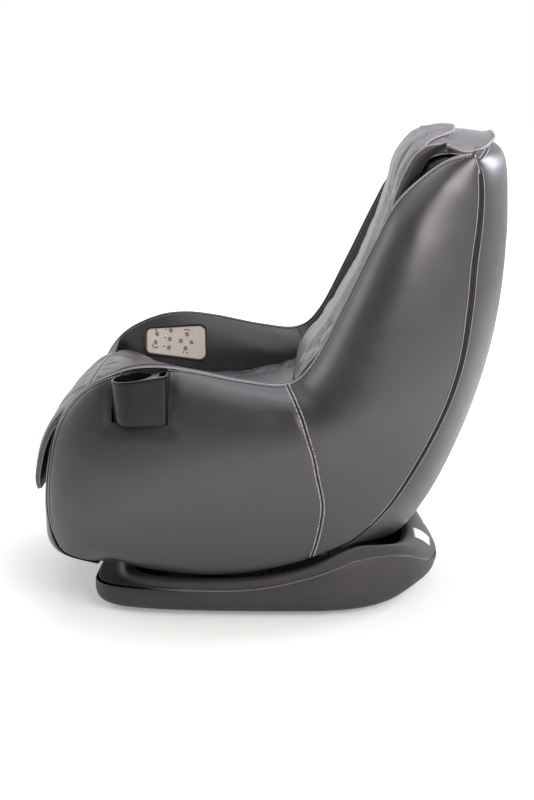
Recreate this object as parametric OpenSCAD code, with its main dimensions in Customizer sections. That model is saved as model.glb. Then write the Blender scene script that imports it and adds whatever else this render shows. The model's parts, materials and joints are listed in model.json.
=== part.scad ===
// Compact massage chair: an upholstered shell that tilts on curved rails over a moulded
// base, with a massage carriage that climbs a curved track behind the back pad.
// Millimetres. X runs across the chair (+X is the sitter's left), -Y is the front, +Z is up.
// The origin lies on the floor under the middle of the chair.

/* [Overall size] */
// Width over the widest part of the sides
chair_w = 730; // [715:1:790]
// Height of the head pad over the floor
back_h = 976; // [972:1:1010]
// How far the top corners of the sides lie under the top of the head pad
wing_drop = 39; // [34:1:44]
// Height of the arm crest
arm_h = 523; // [515:1:540]
// Height of the low place in the arm, where the wing starts
arm_low_h = 491; // [480:1:500]
// Inside width between the sides
seat_w = 472; // [462:1:480]
// How far each arm crest lies outside the inside wall
crest_out = 49; // [44:1:56]
// How far each side seam lies outside the inside wall at the very top
top_out = 17; // [16:1:24]

/* [Tilt] */
// Radius of the curved underside
rock_r = 597; // [590:1:604]
// Height of the lowest point of the underside over the floor
belly_gap = 96; // [94:1:110]
// How far the middle of the curved underside lies in front of the origin
rock_front = 126; // [116:1:136]
// Radial depth of a curved rail under the shell
rail_d = 25; // [20:1:28]
// Width of a curved rail
rail_w = 24; // [16:1:28]
// Distance of each curved rail from the middle
rail_x = 150; // [130:1:170]
// Radius of the rollers that carry the rails
roller_r = 20; // [16:0.5:22]
// Width of the rollers that carry the rails
roller_w = 26; // [18:1:28]
// Diameter of the roller axles
roller_axle_d = 12; // [8:0.5:16]
// Clearance between a roller and its rail
roller_gap = 0.4; // [0.2:0.1:1]
// Angle of the front roller axle from the lowest point, degrees
front_roller_a = 12; // [11:0.5:13]
// Angle of the rear roller axle from the lowest point, degrees
rear_roller_a = 13; // [12:0.5:14]
// Teeth on the tilt pinion
tilt_teeth = 14; // [13:1:15]

/* [Massage track] */
// Radius of the middle of the curved track
track_r = 1095; // [1090:1:1100]
// Distance from the face of the back pad to the middle of the track
track_deep = 95; // [93:1:97]
// Height of the track section, flange to flange
track_h = 30; // [28:1:34]
// Width of the track section
track_w = 28; // [24:1:29]
// Wall of the track section
track_wall = 3; // [2:0.5:4]
// Teeth on a travel pinion
travel_teeth = 14; // [13:1:15]
// Clearance between a guide roller and the track
guide_gap = 0.5; // [0.3:0.1:1]
// Half the distance between the two guide axles
guide_reach = 78; // [72:1:84]
// Radius of a massage roller
head_r = 22; // [18:0.5:24]
// Width of a massage roller
head_w = 34; // [26:1:40]
// Distance of each massage arm from the middle
head_x = 76; // [70:1:90]
// Half the distance between the two massage rollers of an arm
head_reach = 42; // [38:1:46]

/* [Pads] */
// Thickness of the back pad
back_pad_t = 28; // [22:1:32]
// Thickness of the head pillow
pillow_t = 40; // [34:1:46]
// Thickness of the flap behind the head pillow
flap_t = 8; // [6:1:12]
// Gap between each edge of the back pad and the inside wall
back_pad_side = 40; // [30:1:50]
// How far each end of the head flap stays inside the top side seam
head_flap_side = 8; // [4:1:16]
// Thickness of the seat pad
seat_pad_t = 28; // [22:1:32]
// Gap between each edge of the seat pad and the inside wall
seat_pad_side = 8; // [7:1:14]
// Thickness of the foam sheet behind the back pad
liner_t = 12; // [8:1:14]

/* [Shell] */
// Thickness of the upholstered back cover and front panel
skin_t = 13; // [9:1:15]
// Thickness of the frame plates
plate_t = 6; // [4:0.5:8]
// Thickness of the plate that closes the underside
belly_t = 10; // [6:1:12]
// Diameter of the frame cross tubes
tube_d = 25; // [20:1:30]
// Wall of the frame cross tubes
tube_wall = 2; // [1.5:0.5:3]
// Width of the piped band on the arm crest
crest_band = 14; // [10:1:18]
// Length of the inner slope under the arm crest
arm_slope = 112; // [100:1:124]
// Gap between pieces that lie against each other
seat_gap = 0.3; // [0.2:0.1:0.5]

/* [Base] */
// Wall of the base mouldings
base_wall = 4; // [3:0.5:5]
// Height of the rubber feet
foot_h = 9; // [8:0.5:10]
// Diameter of the rubber feet
foot_d = 46; // [36:1:56]
// Height of the steel base beams
beam_h = 20; // [16:1:24]
// Width of the steel base beams
beam_w = 50; // [48:1:56]

/* [Controls] */
// Diameter of a push button
button_d = 8; // [6:0.5:9]
// How far a push button stands out
button_out = 1.6; // [1.2:0.1:2.4]
// Travel of a push button
button_travel = 1; // [0.5:0.1:1]
// Clearance round a push button
button_gap = 0.4; // [0.3:0.1:0.6]
// Thickness of the control plate
panel_t = 3; // [2.5:0.5:4]
// Width of the dark frame round the control plate
bezel_w = 4; // [3:0.5:6]
// Outside diameter of the cup holder
cup_d = 84; // [80:1:88]
// Wall of the cup holder
cup_wall = 3; // [2:0.5:4]
// Depth of the cup holder
cup_h = 92; // [90:1:112]

/* [Hidden] */
tilt_module = 4;
travel_module = 3;
wing_h = back_h - wing_drop;
crest_w = seat_w + 2 * crest_out;
top_w = seat_w + 2 * top_out;
back_pad_w = seat_w - 2 * back_pad_side;
head_flap_w = top_w - 2 * head_flap_side;
seat_pad_w = seat_w - 2 * seat_pad_side;

leather = "#57535a";
leather_dark = "#3c3a3f";
pad_grey = "#8c8a8e";
plastic_dark = "#37363a";
steel = "#8d9196";
rubber = "#1c1c1e";

// ---- small functions -------------------------------------------------------------------
function lerp(a, b, t) = a + (b - a) * t;
function clamp(v, lo, hi) = max(lo, min(hi, v));
function ease(t) = t * t * (3 - 2 * t);
function unit(v) = v / norm(v);
// Point at u on the smooth curve through the points p; u counts points from 0.
function on_curve(p, u) =
    let (last = len(p) - 1, i = clamp(floor(u), 0, last - 1), t = u - i)
    let (a = p[max(i - 1, 0)], b = p[i], c = p[i + 1], d = p[min(i + 2, last)])
    0.5 * (2 * b + (c - a) * t + (2 * a - 5 * b + 4 * c - d) * t * t
        + (3 * b - a - 3 * c + d) * t * t * t);
// Point at the share t of the curve through p.
function along(p, t) = on_curve(p, t * (len(p) - 1));
// Direction of the curve through p at the share t.
function heading(p, t) = unit(along(p, min(t + 0.01, 1)) - along(p, max(t - 0.01, 0)));
// A direction turned a quarter to its left.
function left_of(v) = [-v[1], v[0]];
// Point at radius r and angle a from straight down, about a centre in the Y-Z plane.
function polar(centre, r, a) = centre + r * [sin(a), -cos(a)];

// ---- lofted solids ---------------------------------------------------------------------
function ring_faces(rows, n, closed) = [
    for (i = [0:rows - (closed ? 1 : 2)], j = [0:n - 1])
        let (a = i * n + j, b = i * n + (j + 1) % n)
        let (c = ((i + 1) % rows) * n + (j + 1) % n, d = ((i + 1) % rows) * n + j)
        each [[a, b, c], [a, c, d]]
];
// An end of a loft, sewn across between its outer and its inner half.
function end_faces(first, n, turn) = [
    for (j = [0:n / 2 - 2])
        let (a = first + j, b = first + j + 1)
        let (c = first + n - 2 - j, d = first + n - 1 - j)
        each (turn ? [[c, b, a], [d, c, a]] : [[a, b, c], [a, c, d]])
];
function six_volumes(p, faces) =
    let (parts = [for (f = faces) p[f[0]] * cross(p[f[1]], p[f[2]])])
    parts * [for (v = parts) 1];
// A solid through a list of rings, each with the same even number of points: the first
// half of a ring is one side and the second half comes back along the other. A closed
// loft joins its last ring to its first.
module loft(rings, closed = false) {
    n = len(rings[0]);
    rows = len(rings);
    points = [for (r = rings) each r];
    ends = closed ? [] : concat(end_faces(0, n, true), end_faces((rows - 1) * n, n, false));
    faces = concat(ring_faces(rows, n, closed), ends);
    outward = six_volumes(points, faces) < 0;
    polyhedron(points, outward ? faces : [for (f = faces) [f[2], f[1], f[0]]]);
}

// ---- the side outline ------------------------------------------------------------------
rock_c = [-rock_front, belly_gap + rock_r];
crest_x = crest_w / 2;
top_x = top_w / 2;
wall_x = seat_w / 2;
function wing_z(t) = lerp(arm_low_h, wing_h, t);
function arm_z(t) = lerp(arm_low_h, arm_h, t);
// Height of the lower part of the shell over the underside's lowest point
function low_z(z) = belly_gap + z;

// Crest of a side, from its top corner down the wing, along the arm and down the front.
front_seam = [
    [-363, arm_h - 51], [-410, arm_h - 118], [-432, low_z(204)], [-433, low_z(112)],
    [-410, low_z(46)], [-339, low_z(22)],
];
crest_line = concat([
    [393, wing_h], [331, wing_h - 16], [252, wing_z(0.816)], [211, wing_z(0.644)],
    [156, wing_z(0.368)], [96, wing_z(0.103)], [43, wing_z(0.002)], [-44, arm_z(0.19)],
    [-150, arm_z(0.81)], [-225, arm_h], [-291, arm_h - 12],
], [for (i = [0:4]) front_seam[i]]);
// Zip line from its top down the back, and on along the underside.
zip_line = [
    [402, wing_h - 25], [406, wing_z(0.83)], [404, wing_z(0.697)], [396, wing_z(0.53)],
    [391, wing_z(0.354)], [378, wing_z(0.12)], [350, low_z(352)], [302, low_z(248)],
    [245, low_z(151)], [184, low_z(85)],
];
under_line = concat(zip_line, [
    for (a = [25, 18, 9, 0, -10.5, -16]) polar(rock_c, rock_r + 3, a),
    front_seam[5],
]);
// Middle line of the back cover, from the top down to its heel and in under the shell.
back_line = [
    [447, wing_h + 7], [474, wing_z(0.95)], [482, wing_z(0.74)], [482, wing_z(0.563)],
    [475, wing_z(0.336)], [458, wing_z(0.103)], [430, low_z(336)], [392, low_z(229)],
    [341, low_z(116)], [286, low_z(36)],
];
// Middle line of the front panel, from under the seat pad down and in under the shell.
front_line = [
    [-372, arm_h - 98], [-428, arm_h - 158], [-455, low_z(210)], [-468, low_z(112)],
    [-462, low_z(28)], [-335, low_z(6)],
];
SIDE_ROWS = 30;
SIDE_HALF = 12;

// Half distance between the two crests, and between the two lower seams, at the share t.
function crest_half(t) = t < 0.4
    ? lerp(top_x, crest_x, ease(t / 0.4))
    : lerp(crest_x, crest_x + 13, ease(clamp((t - 0.64) / 0.32, 0, 1)));
seam_out = 3;
function seam_half(t) = t < 0.4
    ? lerp(top_x + 4, crest_x + seam_out, ease(t / 0.4))
    : crest_x + seam_out;
bulge_shares = [0.05, 0.42, 0.66, 0.84, 0.96, 1, 1, 0.97, 0.88, 0.62, 0.2];
// How far a side swells out between its two seams.
function bulge(t) = (chair_w / 2 - crest_x - seam_out / 2) * along(bulge_shares, t);
function swell(s) = pow(sin(180 * pow(s, 0.88)), 0.8);

// One section of a side panel, from the crest over the outside to the lower seam, and
// back along the inside wall and up the inner slope.
function side_section(t) =
    let (a = along(crest_line, t), b = along(under_line, t), d = norm(b - a))
    let (xa = crest_half(t), xb = seam_half(t))
    let (shares = [for (j = [0:SIDE_HALF - 1]) (1 - cos(180 * j / (SIDE_HALF - 1))) / 2])
    let (outer = [
        for (s = shares)
            let (p = lerp(a, b, s))
            [lerp(xa, xb, s) + (s > 0 && s < 1 ? bulge(t) * swell(s) : 0), p[0], p[1]]
    ])
    let (inner = [
        for (s = shares)
            let (p = lerp(a, b, s), down = min(s * max(d / arm_slope, 1), 1))
            [lerp(xa - crest_band, wall_x, down), p[0], p[1]]
    ])
    concat(outer, [for (j = [SIDE_HALF - 1:-1:0]) inner[j]]);

module side_panel_blank() {
    loft([for (i = [0:SIDE_ROWS]) side_section(lerp(0.004, 0.996, i / SIDE_ROWS))]);
}

// ---- skins bowed between two seams -----------------------------------------------------
SKIN_HALF = 13;
// One section of a skin: edge is its seam, middle its middle point, in_dir points to its
// inner side, half is half its width, lip the width of its sewn edge, and square the
// power that sets how quickly it rises from its seams.
function skin_section(edge, middle, in_dir, half, lip, square = 0.7) =
    let (shares = [for (j = [0:SKIN_HALF - 1]) -cos(180 * j / (SKIN_HALF - 1))])
    let (bow = function (s) pow(1 - pow(abs(s), 2.5), square))
    let (welt = 3.8, lift = 2.4)
    let (outer = [
        for (s = shares)
            let (p = lerp(edge - welt * in_dir, middle, bow(s)))
            [s * half, p[0], p[1]]
    ])
    let (inner = [
        for (s = shares)
            let (p = lerp(edge - lift * in_dir, middle, bow(s)) + skin_t * pow(bow(s), 2) * in_dir)
            [s * (half - lip), p[0], p[1]]
    ])
    concat(outer, [for (j = [SKIN_HALF - 1:-1:0]) inner[j]]);

BACK_ROWS = 19;
module back_cover() {
    heel_edge = [152, low_z(62)];
    heel_middle = [236, low_z(40)];
    edge_line = concat([[396, wing_h - 9]], zip_line, [heel_edge]);
    middle_line = concat([[404, wing_h + 14]], back_line, [heel_middle]);
    color(leather)
        loft([
            for (i = [0:BACK_ROWS])
                let (t = i / BACK_ROWS)
                skin_section(along(edge_line, t), along(middle_line, t),
                    -left_of(heading(middle_line, t)),
                    seam_half(max(t * (len(edge_line) - 1) - 1, 0) / (len(under_line) - 1)) - 1,
                    11, lerp(0.7, 1.1, ease(clamp(5 * t - 3.6, 0, 1))))
        ]);
}

FRONT_ROWS = 11;
module front_panel() {
    color(leather)
        loft([
            for (i = [0:FRONT_ROWS])
                let (t = lerp(0.18, 1, i / FRONT_ROWS))
                skin_section(along(front_seam, t), along(front_line, t),
                    unit(lerp([1, 0], left_of(heading(front_line, t)), clamp(3 * t - 0.7, 0, 1))),
                    lerp(crest_x - 24, crest_x + 11, ease(min(3.6 * t, 1))), 3)
        ]);
}

// ---- bars bent about an X axis ---------------------------------------------------------
// A bar from radius r1 to r2 and from x1 to x2, bent about a centre from angle a1 to a2.
module bent_bar(centre, r1, r2, x1, x2, a1, a2) {
    translate([0, centre[0], centre[1]])
        rotate([0, 90, 0])
            rotate([0, 0, a1])
                rotate_extrude(angle = a2 - a1, $fn = 180)
                    translate([r1, x1])
                        square([r2 - r1, x2 - x1]);
}
// A round bar along X at a point of the Y-Z plane.
module cross_bar(p, d, x1, x2) {
    translate([x1, p[0], p[1]])
        rotate([0, 90, 0])
            cylinder(d = d, h = x2 - x1, $fn = 64);
}
// A plate of an outline in the Y-Z plane, from x1 to x2.
module upright_plate(x1, x2) {
    translate([x1, 0, 0])
        rotate([90, 0, 90])
            linear_extrude(x2 - x1)
                children();
}

// ---- gears -----------------------------------------------------------------------------
pressure = 20;
tooth_play = 0.16;
function involute(base, r) =
    let (w = sqrt(max(pow(r / base, 2) - 1, 0)))
    w * 180 / PI - atan(w);
// Outline of a pinion with n teeth of module m; one tooth points along +X.
function pinion_outline(m, n) =
    let (r = m * n / 2, base = r * cos(pressure), tip = r + 0.9 * m, root = r - 1.05 * m)
    let (half = 90 / n - tooth_play * 90 / (PI * r) + involute(base, r))
    let (steps = [for (k = [0:4]) lerp(max(base, root + 0.1), tip, k / 4)])
    [
        for (i = [0:n - 1])
            let (mid = 360 * i / n)
            each concat(
                [let (a = mid - half) root * [cos(a), sin(a)]],
                [for (q = steps) let (a = mid - half + involute(base, q)) q * [cos(a), sin(a)]],
                [for (k = [4:-1:0]) let (q = steps[k], a = mid + half - involute(base, q))
                    q * [cos(a), sin(a)]],
                [let (a = mid + half) root * [cos(a), sin(a)]]
            )
    ];
// Outline of a toothed arc of n whole-circle teeth about a centre, from angle a1 to a2 from
// straight down, its back at radius back_r; a gap lies at the angle gap_a.
function rack_outline(centre, m, n, back_r, a1, a2, gap_a) =
    let (r = m * n / 2, pitch = 360 / n, tip = r + 0.75 * m, root = r - 1.1 * m)
    let (side = tan(pressure) * 180 / (PI * r), play = tooth_play * 90 / (PI * r))
    let (first = ceil((a1 - gap_a) / pitch), last = floor((a2 - gap_a) / pitch) - 1)
    let (half = pitch / 4 - play)
    concat(
        [polar(centre, back_r, a1), polar(centre, root, a1)],
        [
            for (i = [first:last])
                let (mid = gap_a + (i + 0.5) * pitch)
                each [
                    polar(centre, root, mid - half - side * (r - root)),
                    polar(centre, tip, mid - half + side * (tip - r)),
                    polar(centre, tip, mid + half - side * (tip - r)),
                    polar(centre, root, mid + half + side * (r - root)),
                ]
        ],
        [polar(centre, root, a2)],
        [for (k = [0:12]) polar(centre, back_r, lerp(a2, a1, k / 13))]
    );
// Places children at radius r and angle a from straight down, turned so that their local
// X points away from the centre and their local Z along the chair's X.
module at_arc(centre, r, a) {
    p = polar(centre, r, a);
    translate([0, p[0], p[1]])
        rotate([0, 90, 0])
            rotate([0, 0, a])
                children();
}

// ---- tilt gear -------------------------------------------------------------------------
tilt_back = 5;
tilt_front = 3;
tilt_rack_teeth = 2 * round((rock_r + 15) / tilt_module);
tilt_rack_r = tilt_module * tilt_rack_teeth / 2;
tilt_pinion_c = tilt_rack_r + tilt_module * tilt_teeth / 2;
rail_face_r = rock_r + seat_gap + rail_d;
roller_c = rail_face_r + roller_gap + roller_r;
rack_w = 18;

module rocker_rail(side) {
    x = side * rail_x;
    color(steel)
        bent_bar(rock_c, rock_r + seat_gap, rail_face_r, x - rail_w / 2, x + rail_w / 2,
            -front_roller_a - tilt_front - 3, rear_roller_a + tilt_back + 3);
}
module tilt_rack() {
    color(steel)
        upright_plate(-rack_w / 2, rack_w / 2)
            polygon(rack_outline(rock_c, tilt_module, tilt_rack_teeth, rock_r + seat_gap,
                -tilt_front - 4, tilt_back + 4, 0));
}
pinion_shaft_d = 12;
module tilt_pinion() {
    color(steel)
        at_arc(rock_c, tilt_pinion_c, 0) {
            translate([0, 0, -rack_w / 2 - 2])
                rotate([0, 0, 180])
                    linear_extrude(rack_w + 4)
                        polygon(pinion_outline(tilt_module, tilt_teeth));
            translate([0, 0, -rack_w / 2 - 14])
                cylinder(d = pinion_shaft_d, h = rack_w + 14 + motor_x, $fn = 64);
        }
}

// ---- base ------------------------------------------------------------------------------
base_floor = foot_h - 2;
motor_x = 24;
// Plan and edges of the base, front to rear: y, half width, height of the lower edge,
// height of the parting line.
base_plan = [
    [-360, 226, 31, 57], [-345, 258, 17, 58], [-318, 277, base_floor + 3, 58],
    [-269, 289, base_floor, 58], [-165, 298, base_floor, 58], [-22, 297, base_floor, 63],
    [91, 291, base_floor, 88], [140, 284, base_floor, 104], [192, 268, base_floor, 118],
    [249, 236, base_floor + 3, 118], [296, 196, 24, 102], [332, 140, 33, 75],
    [352, 78, 38, 60], [362, 30, 42, 52],
];
function tray_section(p, solid) =
    let (y = p[0], w = p[1], lo = p[2], hi = p[3], h = hi - lo, t = base_wall)
    let (r = min(24, h * 0.45))
    let (outer = [
        [w - 5, hi], [w, hi - 0.3 * h], [w, lo + r], [w - 0.3 * r, lo + 0.3 * r],
        [w - 1.2 * r, lo], [w * 0.4, lo],
    ])
    let (inner = solid
        ? [for (k = [0:5]) [(w - 5 - t) * (1 - k / 6), hi - 0.6 * k]]
        : [
            [w - 5 - t, hi], [w - t, hi - 0.3 * h], [w - t, lo + r],
            [w - t - 0.3 * r, lo + t + 0.2 * r], [w - t - 1.2 * r, lo + t],
            [w * 0.4 - t, lo + t],
        ])
    concat(
        [for (q = outer) [q[0], y, q[1]]],
        [for (k = [5:-1:0]) [-outer[k][0], y, outer[k][1]]],
        [for (q = inner) [-q[0], y, q[1]]],
        [for (k = [5:-1:0]) [inner[k][0], y, inner[k][1]]]
    );
TRAY_ROWS = 26;
inlet_z = 46;
inlet_l = 76;
inlet_h = 30;
inlet_deep = 30;
inlet_front = along(base_plan, 5.6 / 13);
inlet_rear = along(base_plan, 6.4 / 13);
inlet_place = (inlet_front + inlet_rear) / 2;
inlet_turn = atan((inlet_front[1] - inlet_rear[1]) / (inlet_rear[0] - inlet_front[0]));
// Places children on the right wall of the base: their -X points out of the wall.
module on_wall() {
    translate([-inlet_place[1], inlet_place[0], inlet_z])
        rotate([0, 0, -inlet_turn])
            children();
}
module inlet_hole(clear) {
    on_wall()
        translate([-12, -inlet_l / 2 - clear, -inlet_h / 2 - clear])
            cube([40, inlet_l + 2 * clear, inlet_h + 2 * clear]);
}
module base_lower_shell() {
    rows = [for (i = [0:TRAY_ROWS]) along(base_plan, i / TRAY_ROWS)];
    first = rows[0];
    last = rows[TRAY_ROWS];
    color(plastic_dark)
        difference() {
            loft(concat(
                [tray_section(first, true)],
                [tray_section([first[0] + base_wall, first[1] + 6, first[2] - 3, first[3]], false)],
                [for (i = [1:TRAY_ROWS - 2]) tray_section(rows[i], false)],
                [tray_section([last[0] - base_wall, last[1] + 8, last[2] - 1, last[3] + 2], false)],
                [tray_section(last, true)]
            ));
            inlet_hole(seat_gap);
        }
}

// Upper shell, half of it from front to rear: its edge on the lower shell, the foot of its
// wall and its rim.
skirt_edge = [
    [0, -358, 61], [120, -358, 61], [214, -355, 61], [266, -322, 61], [293, -165, 61],
    [292, -18, 66], [286, 91, 91], [279, 140, 107], [263, 192, 121], [231, 249, 121],
    [191, 296, 106], [130, 334, 78], [63, 354, 64], [0, 362, 58],
];
skirt_foot = [
    [0, -318, 61], [120, -316, 61], [218, -304, 61], [264, -270, 61], [289, -165, 62],
    [288, -18, 67], [282, 91, 92], [275, 139, 108], [259, 190, 122], [228, 246, 122],
    [188, 293, 107], [127, 331, 79], [60, 350, 65], [0, 358, 59],
];
skirt_rim = [
    [0, -302, 83], [120, -300, 83], [212, -290, 82], [256, -262, 80], [280, -165, 79],
    [281, -14, 86], [278, 91, 113], [275, 140, 140], [266, 190, 158], [244, 234, 152],
    [200, 268, 142], [130, 287, 134], [62, 295, 131], [0, 297, 130],
];
function skirt_section(edge, foot, rim, dir) =
    let (t = base_wall, r = norm([rim[1], rim[2]] - rock_c), away = rim[1] - rock_c[0])
    let (a = asin(away / r), k = clamp((a - 18) / 8, 0, 1), sink = 2 + 10 * k)
    let (lip = polar(rock_c, r + sink, a * 0.94))
    let (tip = [rim[0] * 0.95, lip[0], lip[1]])
    let (out = unit([dir[1], -dir[0], 0]), inward = -out * t)
    let (shoulder = min(9, 0.2 * (rim[2] - foot[2])), down = [0, 0, -t])
    let (belly = (foot + rim) / 2 + out * 7 + [0, 0, shoulder])
    [
        edge, foot, belly, rim, tip, tip + down * lerp(1, 0.4, k) + inward * lerp(0.3, -0.8, k),
        rim + down * lerp(1, 1.8, k) + inward * lerp(0.6, 0, k),
        belly + inward + down * 0.6, foot + inward * 3 + down * 2,
        foot + inward * 1.5 + down * 2, foot + inward * 1.5 + down * 0.6, edge + down * 0.55,
    ];
SKIRT_ROWS = 26;
module base_upper_shell() {
    half = [
        for (i = [0:SKIRT_ROWS])
            let (t = i / SKIRT_ROWS)
            skirt_section(along(skirt_edge, t), along(skirt_foot, t), along(skirt_rim, t),
                heading(skirt_foot, t))
    ];
    other = [
        for (i = [SKIRT_ROWS - 1:-1:1]) [for (p = half[i]) [-p[0], p[1], p[2]]]
    ];
    color(plastic_dark)
        loft(concat(half, other), closed = true);
}

beam_z = base_floor + base_wall + seat_gap;
beam_top = beam_z + beam_h;
bracket_t = 4;
bracket_gap = 2;
function axle_point(a) = polar(rock_c, roller_c, a);
module roller_bracket(side, a) {
    p = axle_point(a);
    for (s = [-1, 1]) {
        x = side * rail_x + s * (roller_w / 2 + bracket_gap + bracket_t / 2);
        difference() {
            upright_plate(x - bracket_t / 2, x + bracket_t / 2)
                union() {
                    translate([p[0], p[1]]) circle(d = roller_axle_d + 14, $fn = 64);
                    translate([p[0] - 22, beam_top - 2]) square([44, 8]);
                    translate([p[0] - (roller_axle_d + 14) / 2, beam_top - 2])
                        square([roller_axle_d + 14, p[1] - beam_top + 2]);
                }
            cross_bar(p, roller_axle_d + 0.4, x - 10, x + 10);
        }
    }
}
base_beam_front = -276;
base_beam_rear = 186;
motor_bars = [-58, 38];
module base_frame() {
    cross_l = 60;
    color(steel) {
        for (side = [-1, 1]) {
            translate([side * rail_x - beam_w / 2, base_beam_front, beam_z])
                cube([beam_w, base_beam_rear - base_beam_front, beam_h]);
            roller_bracket(side, -front_roller_a);
            roller_bracket(side, rear_roller_a);
        }
        for (y = [base_beam_front, base_beam_rear - cross_l])
            translate([-rail_x - 84, y, beam_z])
                cube([2 * rail_x + 168, cross_l, beam_h]);
        for (y = motor_bars)
            translate([-rail_x, rock_c[0] + y, beam_z])
                cube([2 * rail_x, 24, beam_h]);
        translate([rack_w / 2 + 4, rock_c[0] + motor_bars[0], beam_top - bracket_t])
            cube([motor_l, motor_bars[1] - motor_bars[0] + 4, bracket_t]);
    }
}
foot_x = rail_x + 52;
foot_front = base_beam_front + 20;
foot_rear = base_beam_rear - 30;
module feet() {
    color(rubber)
        for (x = [-foot_x, foot_x], y = [foot_front, foot_rear])
            translate([x, y, 0])
                rotate_extrude($fn = 64)
                    polygon([
                        [0, 0], [foot_d / 2 - 2, 0], [foot_d / 2, 2],
                        [foot_d / 2 - 2, base_floor - seat_gap], [0, base_floor - seat_gap],
                    ]);
}
module roller_set(a) {
    p = axle_point(a);
    ends = roller_w / 2 + bracket_gap + bracket_t + 3;
    color(plastic_dark)
        for (side = [-1, 1]) {
            x = side * rail_x;
            cross_bar(p, 2 * roller_r, x - roller_w / 2, x + roller_w / 2);
        }
    color(steel)
        cross_bar(p, roller_axle_d, -rail_x - ends, rail_x + ends);
}
motor_l = 96;
module tilt_motor() {
    p = polar(rock_c, tilt_pinion_c, 0);
    x = rack_w / 2 + 4;
    body = 2 * (p[1] - beam_top - seat_gap);
    color(plastic_dark)
        difference() {
            union() {
                translate([x, p[0] - 34, beam_top + seat_gap])
                    cube([34, 68, p[1] - beam_top - seat_gap + 8]);
                translate([x + 34, p[0], p[1]])
                    rotate([0, 90, 0])
                        cylinder(d = body, h = motor_l - 34, $fn = 64);
            }
            cross_bar(p, pinion_shaft_d + 0.6, x - 1, x + 34);
        }
}
module power_supply() {
    color("#9a9da0")
        translate([-70, base_beam_rear - 60 - 112, base_floor + base_wall + seat_gap])
            cube([140, 108, 46]);
}
switch_l = 21;
switch_h = 13;
switch_at = 20;
switch_gap = 0.6;
socket_at = -16;
socket_l = 28;
socket_h = 20;
pivot_deep = 4;
module inlet_plate() {
    rim = 3;
    color(rubber)
        on_wall()
            difference() {
                union() {
                    translate([-2.8, -inlet_l / 2 - rim, -inlet_h / 2 - rim])
                        cube([2.2, inlet_l + 2 * rim, inlet_h + 2 * rim]);
                    translate([-1, -inlet_l / 2, -inlet_h / 2])
                        cube([inlet_deep, inlet_l, inlet_h]);
                }
                translate([-5, socket_at - socket_l / 2, -socket_h / 2])
                    cube([20, socket_l, socket_h]);
                translate([-5, switch_at - switch_l / 2 - switch_gap, -switch_h / 2 - switch_gap])
                    cube([18, switch_l + 2 * switch_gap, switch_h + 2 * switch_gap]);
            }
}
// The rocker rests with one half pressed in and turns about an upright axis.
module power_switch() {
    color("#2a2a2c")
        on_wall()
            translate([pivot_deep, switch_at, -switch_h / 2])
                linear_extrude(switch_h)
                    polygon([
                        [-5.6, -switch_l / 2 + 1.4], [-6.6, 0], [-9.6, switch_l / 2 - 1.8],
                        [-5.6, switch_l / 2 - 0.9], [4.5, 4], [5.5, 0], [4.5, -4],
                        [-2.4, -switch_l / 2 + 0.9],
                    ]);
}

// ---- chair body ------------------------------------------------------------------------
carriage_a = 66;
track_mid = [278.3, 669.6];
track_c = track_mid - track_r * [sin(carriage_a), -cos(carriage_a)];
back_face_r = track_r - track_deep;
module track_arc(r1, r2, x1, x2, a1, a2) {
    bent_bar(track_c, r1, r2, x1, x2, a1, a2);
}
frame_x = wall_x - 0.5;
inside_x = frame_x - plate_t;
belly_front_a = -18.6;
belly_rear_a = 27;
module belly_plate() {
    color(leather_dark)
        bent_bar(rock_c, rock_r - belly_t, rock_r, -inside_x + seat_gap, inside_x - seat_gap,
            belly_front_a, belly_rear_a);
}
seat_plate_z = 330;
pan_t = 15;
tube_front = [-330, seat_plate_z - seat_gap - tube_d / 2];
tube_mid = [20, seat_plate_z - seat_gap - tube_d / 2];
tube_low = [-340, low_z(90)];
tube_rear = [270, low_z(230)];
function frame_outline() = concat(
    [for (a = [belly_front_a:4.4:belly_rear_a]) polar(rock_c, rock_r - 1, a)],
    [
        [250, low_z(168)], [302, low_z(264)], [345, low_z(362)], [371, low_z(460)],
        [381, low_z(560)], [386, low_z(650)], [394, wing_h - 57], [393, wing_h - 30],
        [345, wing_h - 30], [300, wing_h - 66], [262, wing_h - 140], [222, wing_h - 240],
        [176, wing_h - 340], [128, wing_h - 430], [60, seat_plate_z + 70],
        [-330, seat_plate_z + 64], [-372, seat_plate_z + 40], [-390, low_z(190)],
        [-380, low_z(96)], [-350, low_z(50)],
    ]
);
module frame_side(side) {
    x1 = side > 0 ? inside_x : -frame_x;
    color(steel)
        upright_plate(x1, x1 + plate_t)
            polygon(frame_outline());
}
module frame_tubes() {
    color(steel)
        for (p = [tube_front, tube_mid, tube_low, tube_rear])
            difference() {
                cross_bar(p, tube_d, -inside_x + seat_gap, inside_x - seat_gap);
                cross_bar(p, tube_d - 2 * tube_wall, -inside_x - 1, inside_x + 1);
            }
}
head_lip_r = back_face_r + pillow_t + 4;
// Angle of the lip's lower edge, a fixed drop under the top corners of the sides
head_a = acos((track_c[1] - wing_h + 78.1) / head_lip_r);
head_rail_points = [
    polar(track_c, head_lip_r, head_a), polar(track_c, head_lip_r + 3, head_a + 1.4),
    polar(track_c, head_lip_r + 11, head_a + 2.8), [327, wing_h - 20], [345, wing_h - 12],
    [392, wing_h - 12], [400, wing_h - 18], [398, wing_h - 36], [350, wing_h - 36],
    polar(track_c, head_lip_r + 28, head_a + 2), polar(track_c, head_lip_r + 20, head_a),
];
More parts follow.
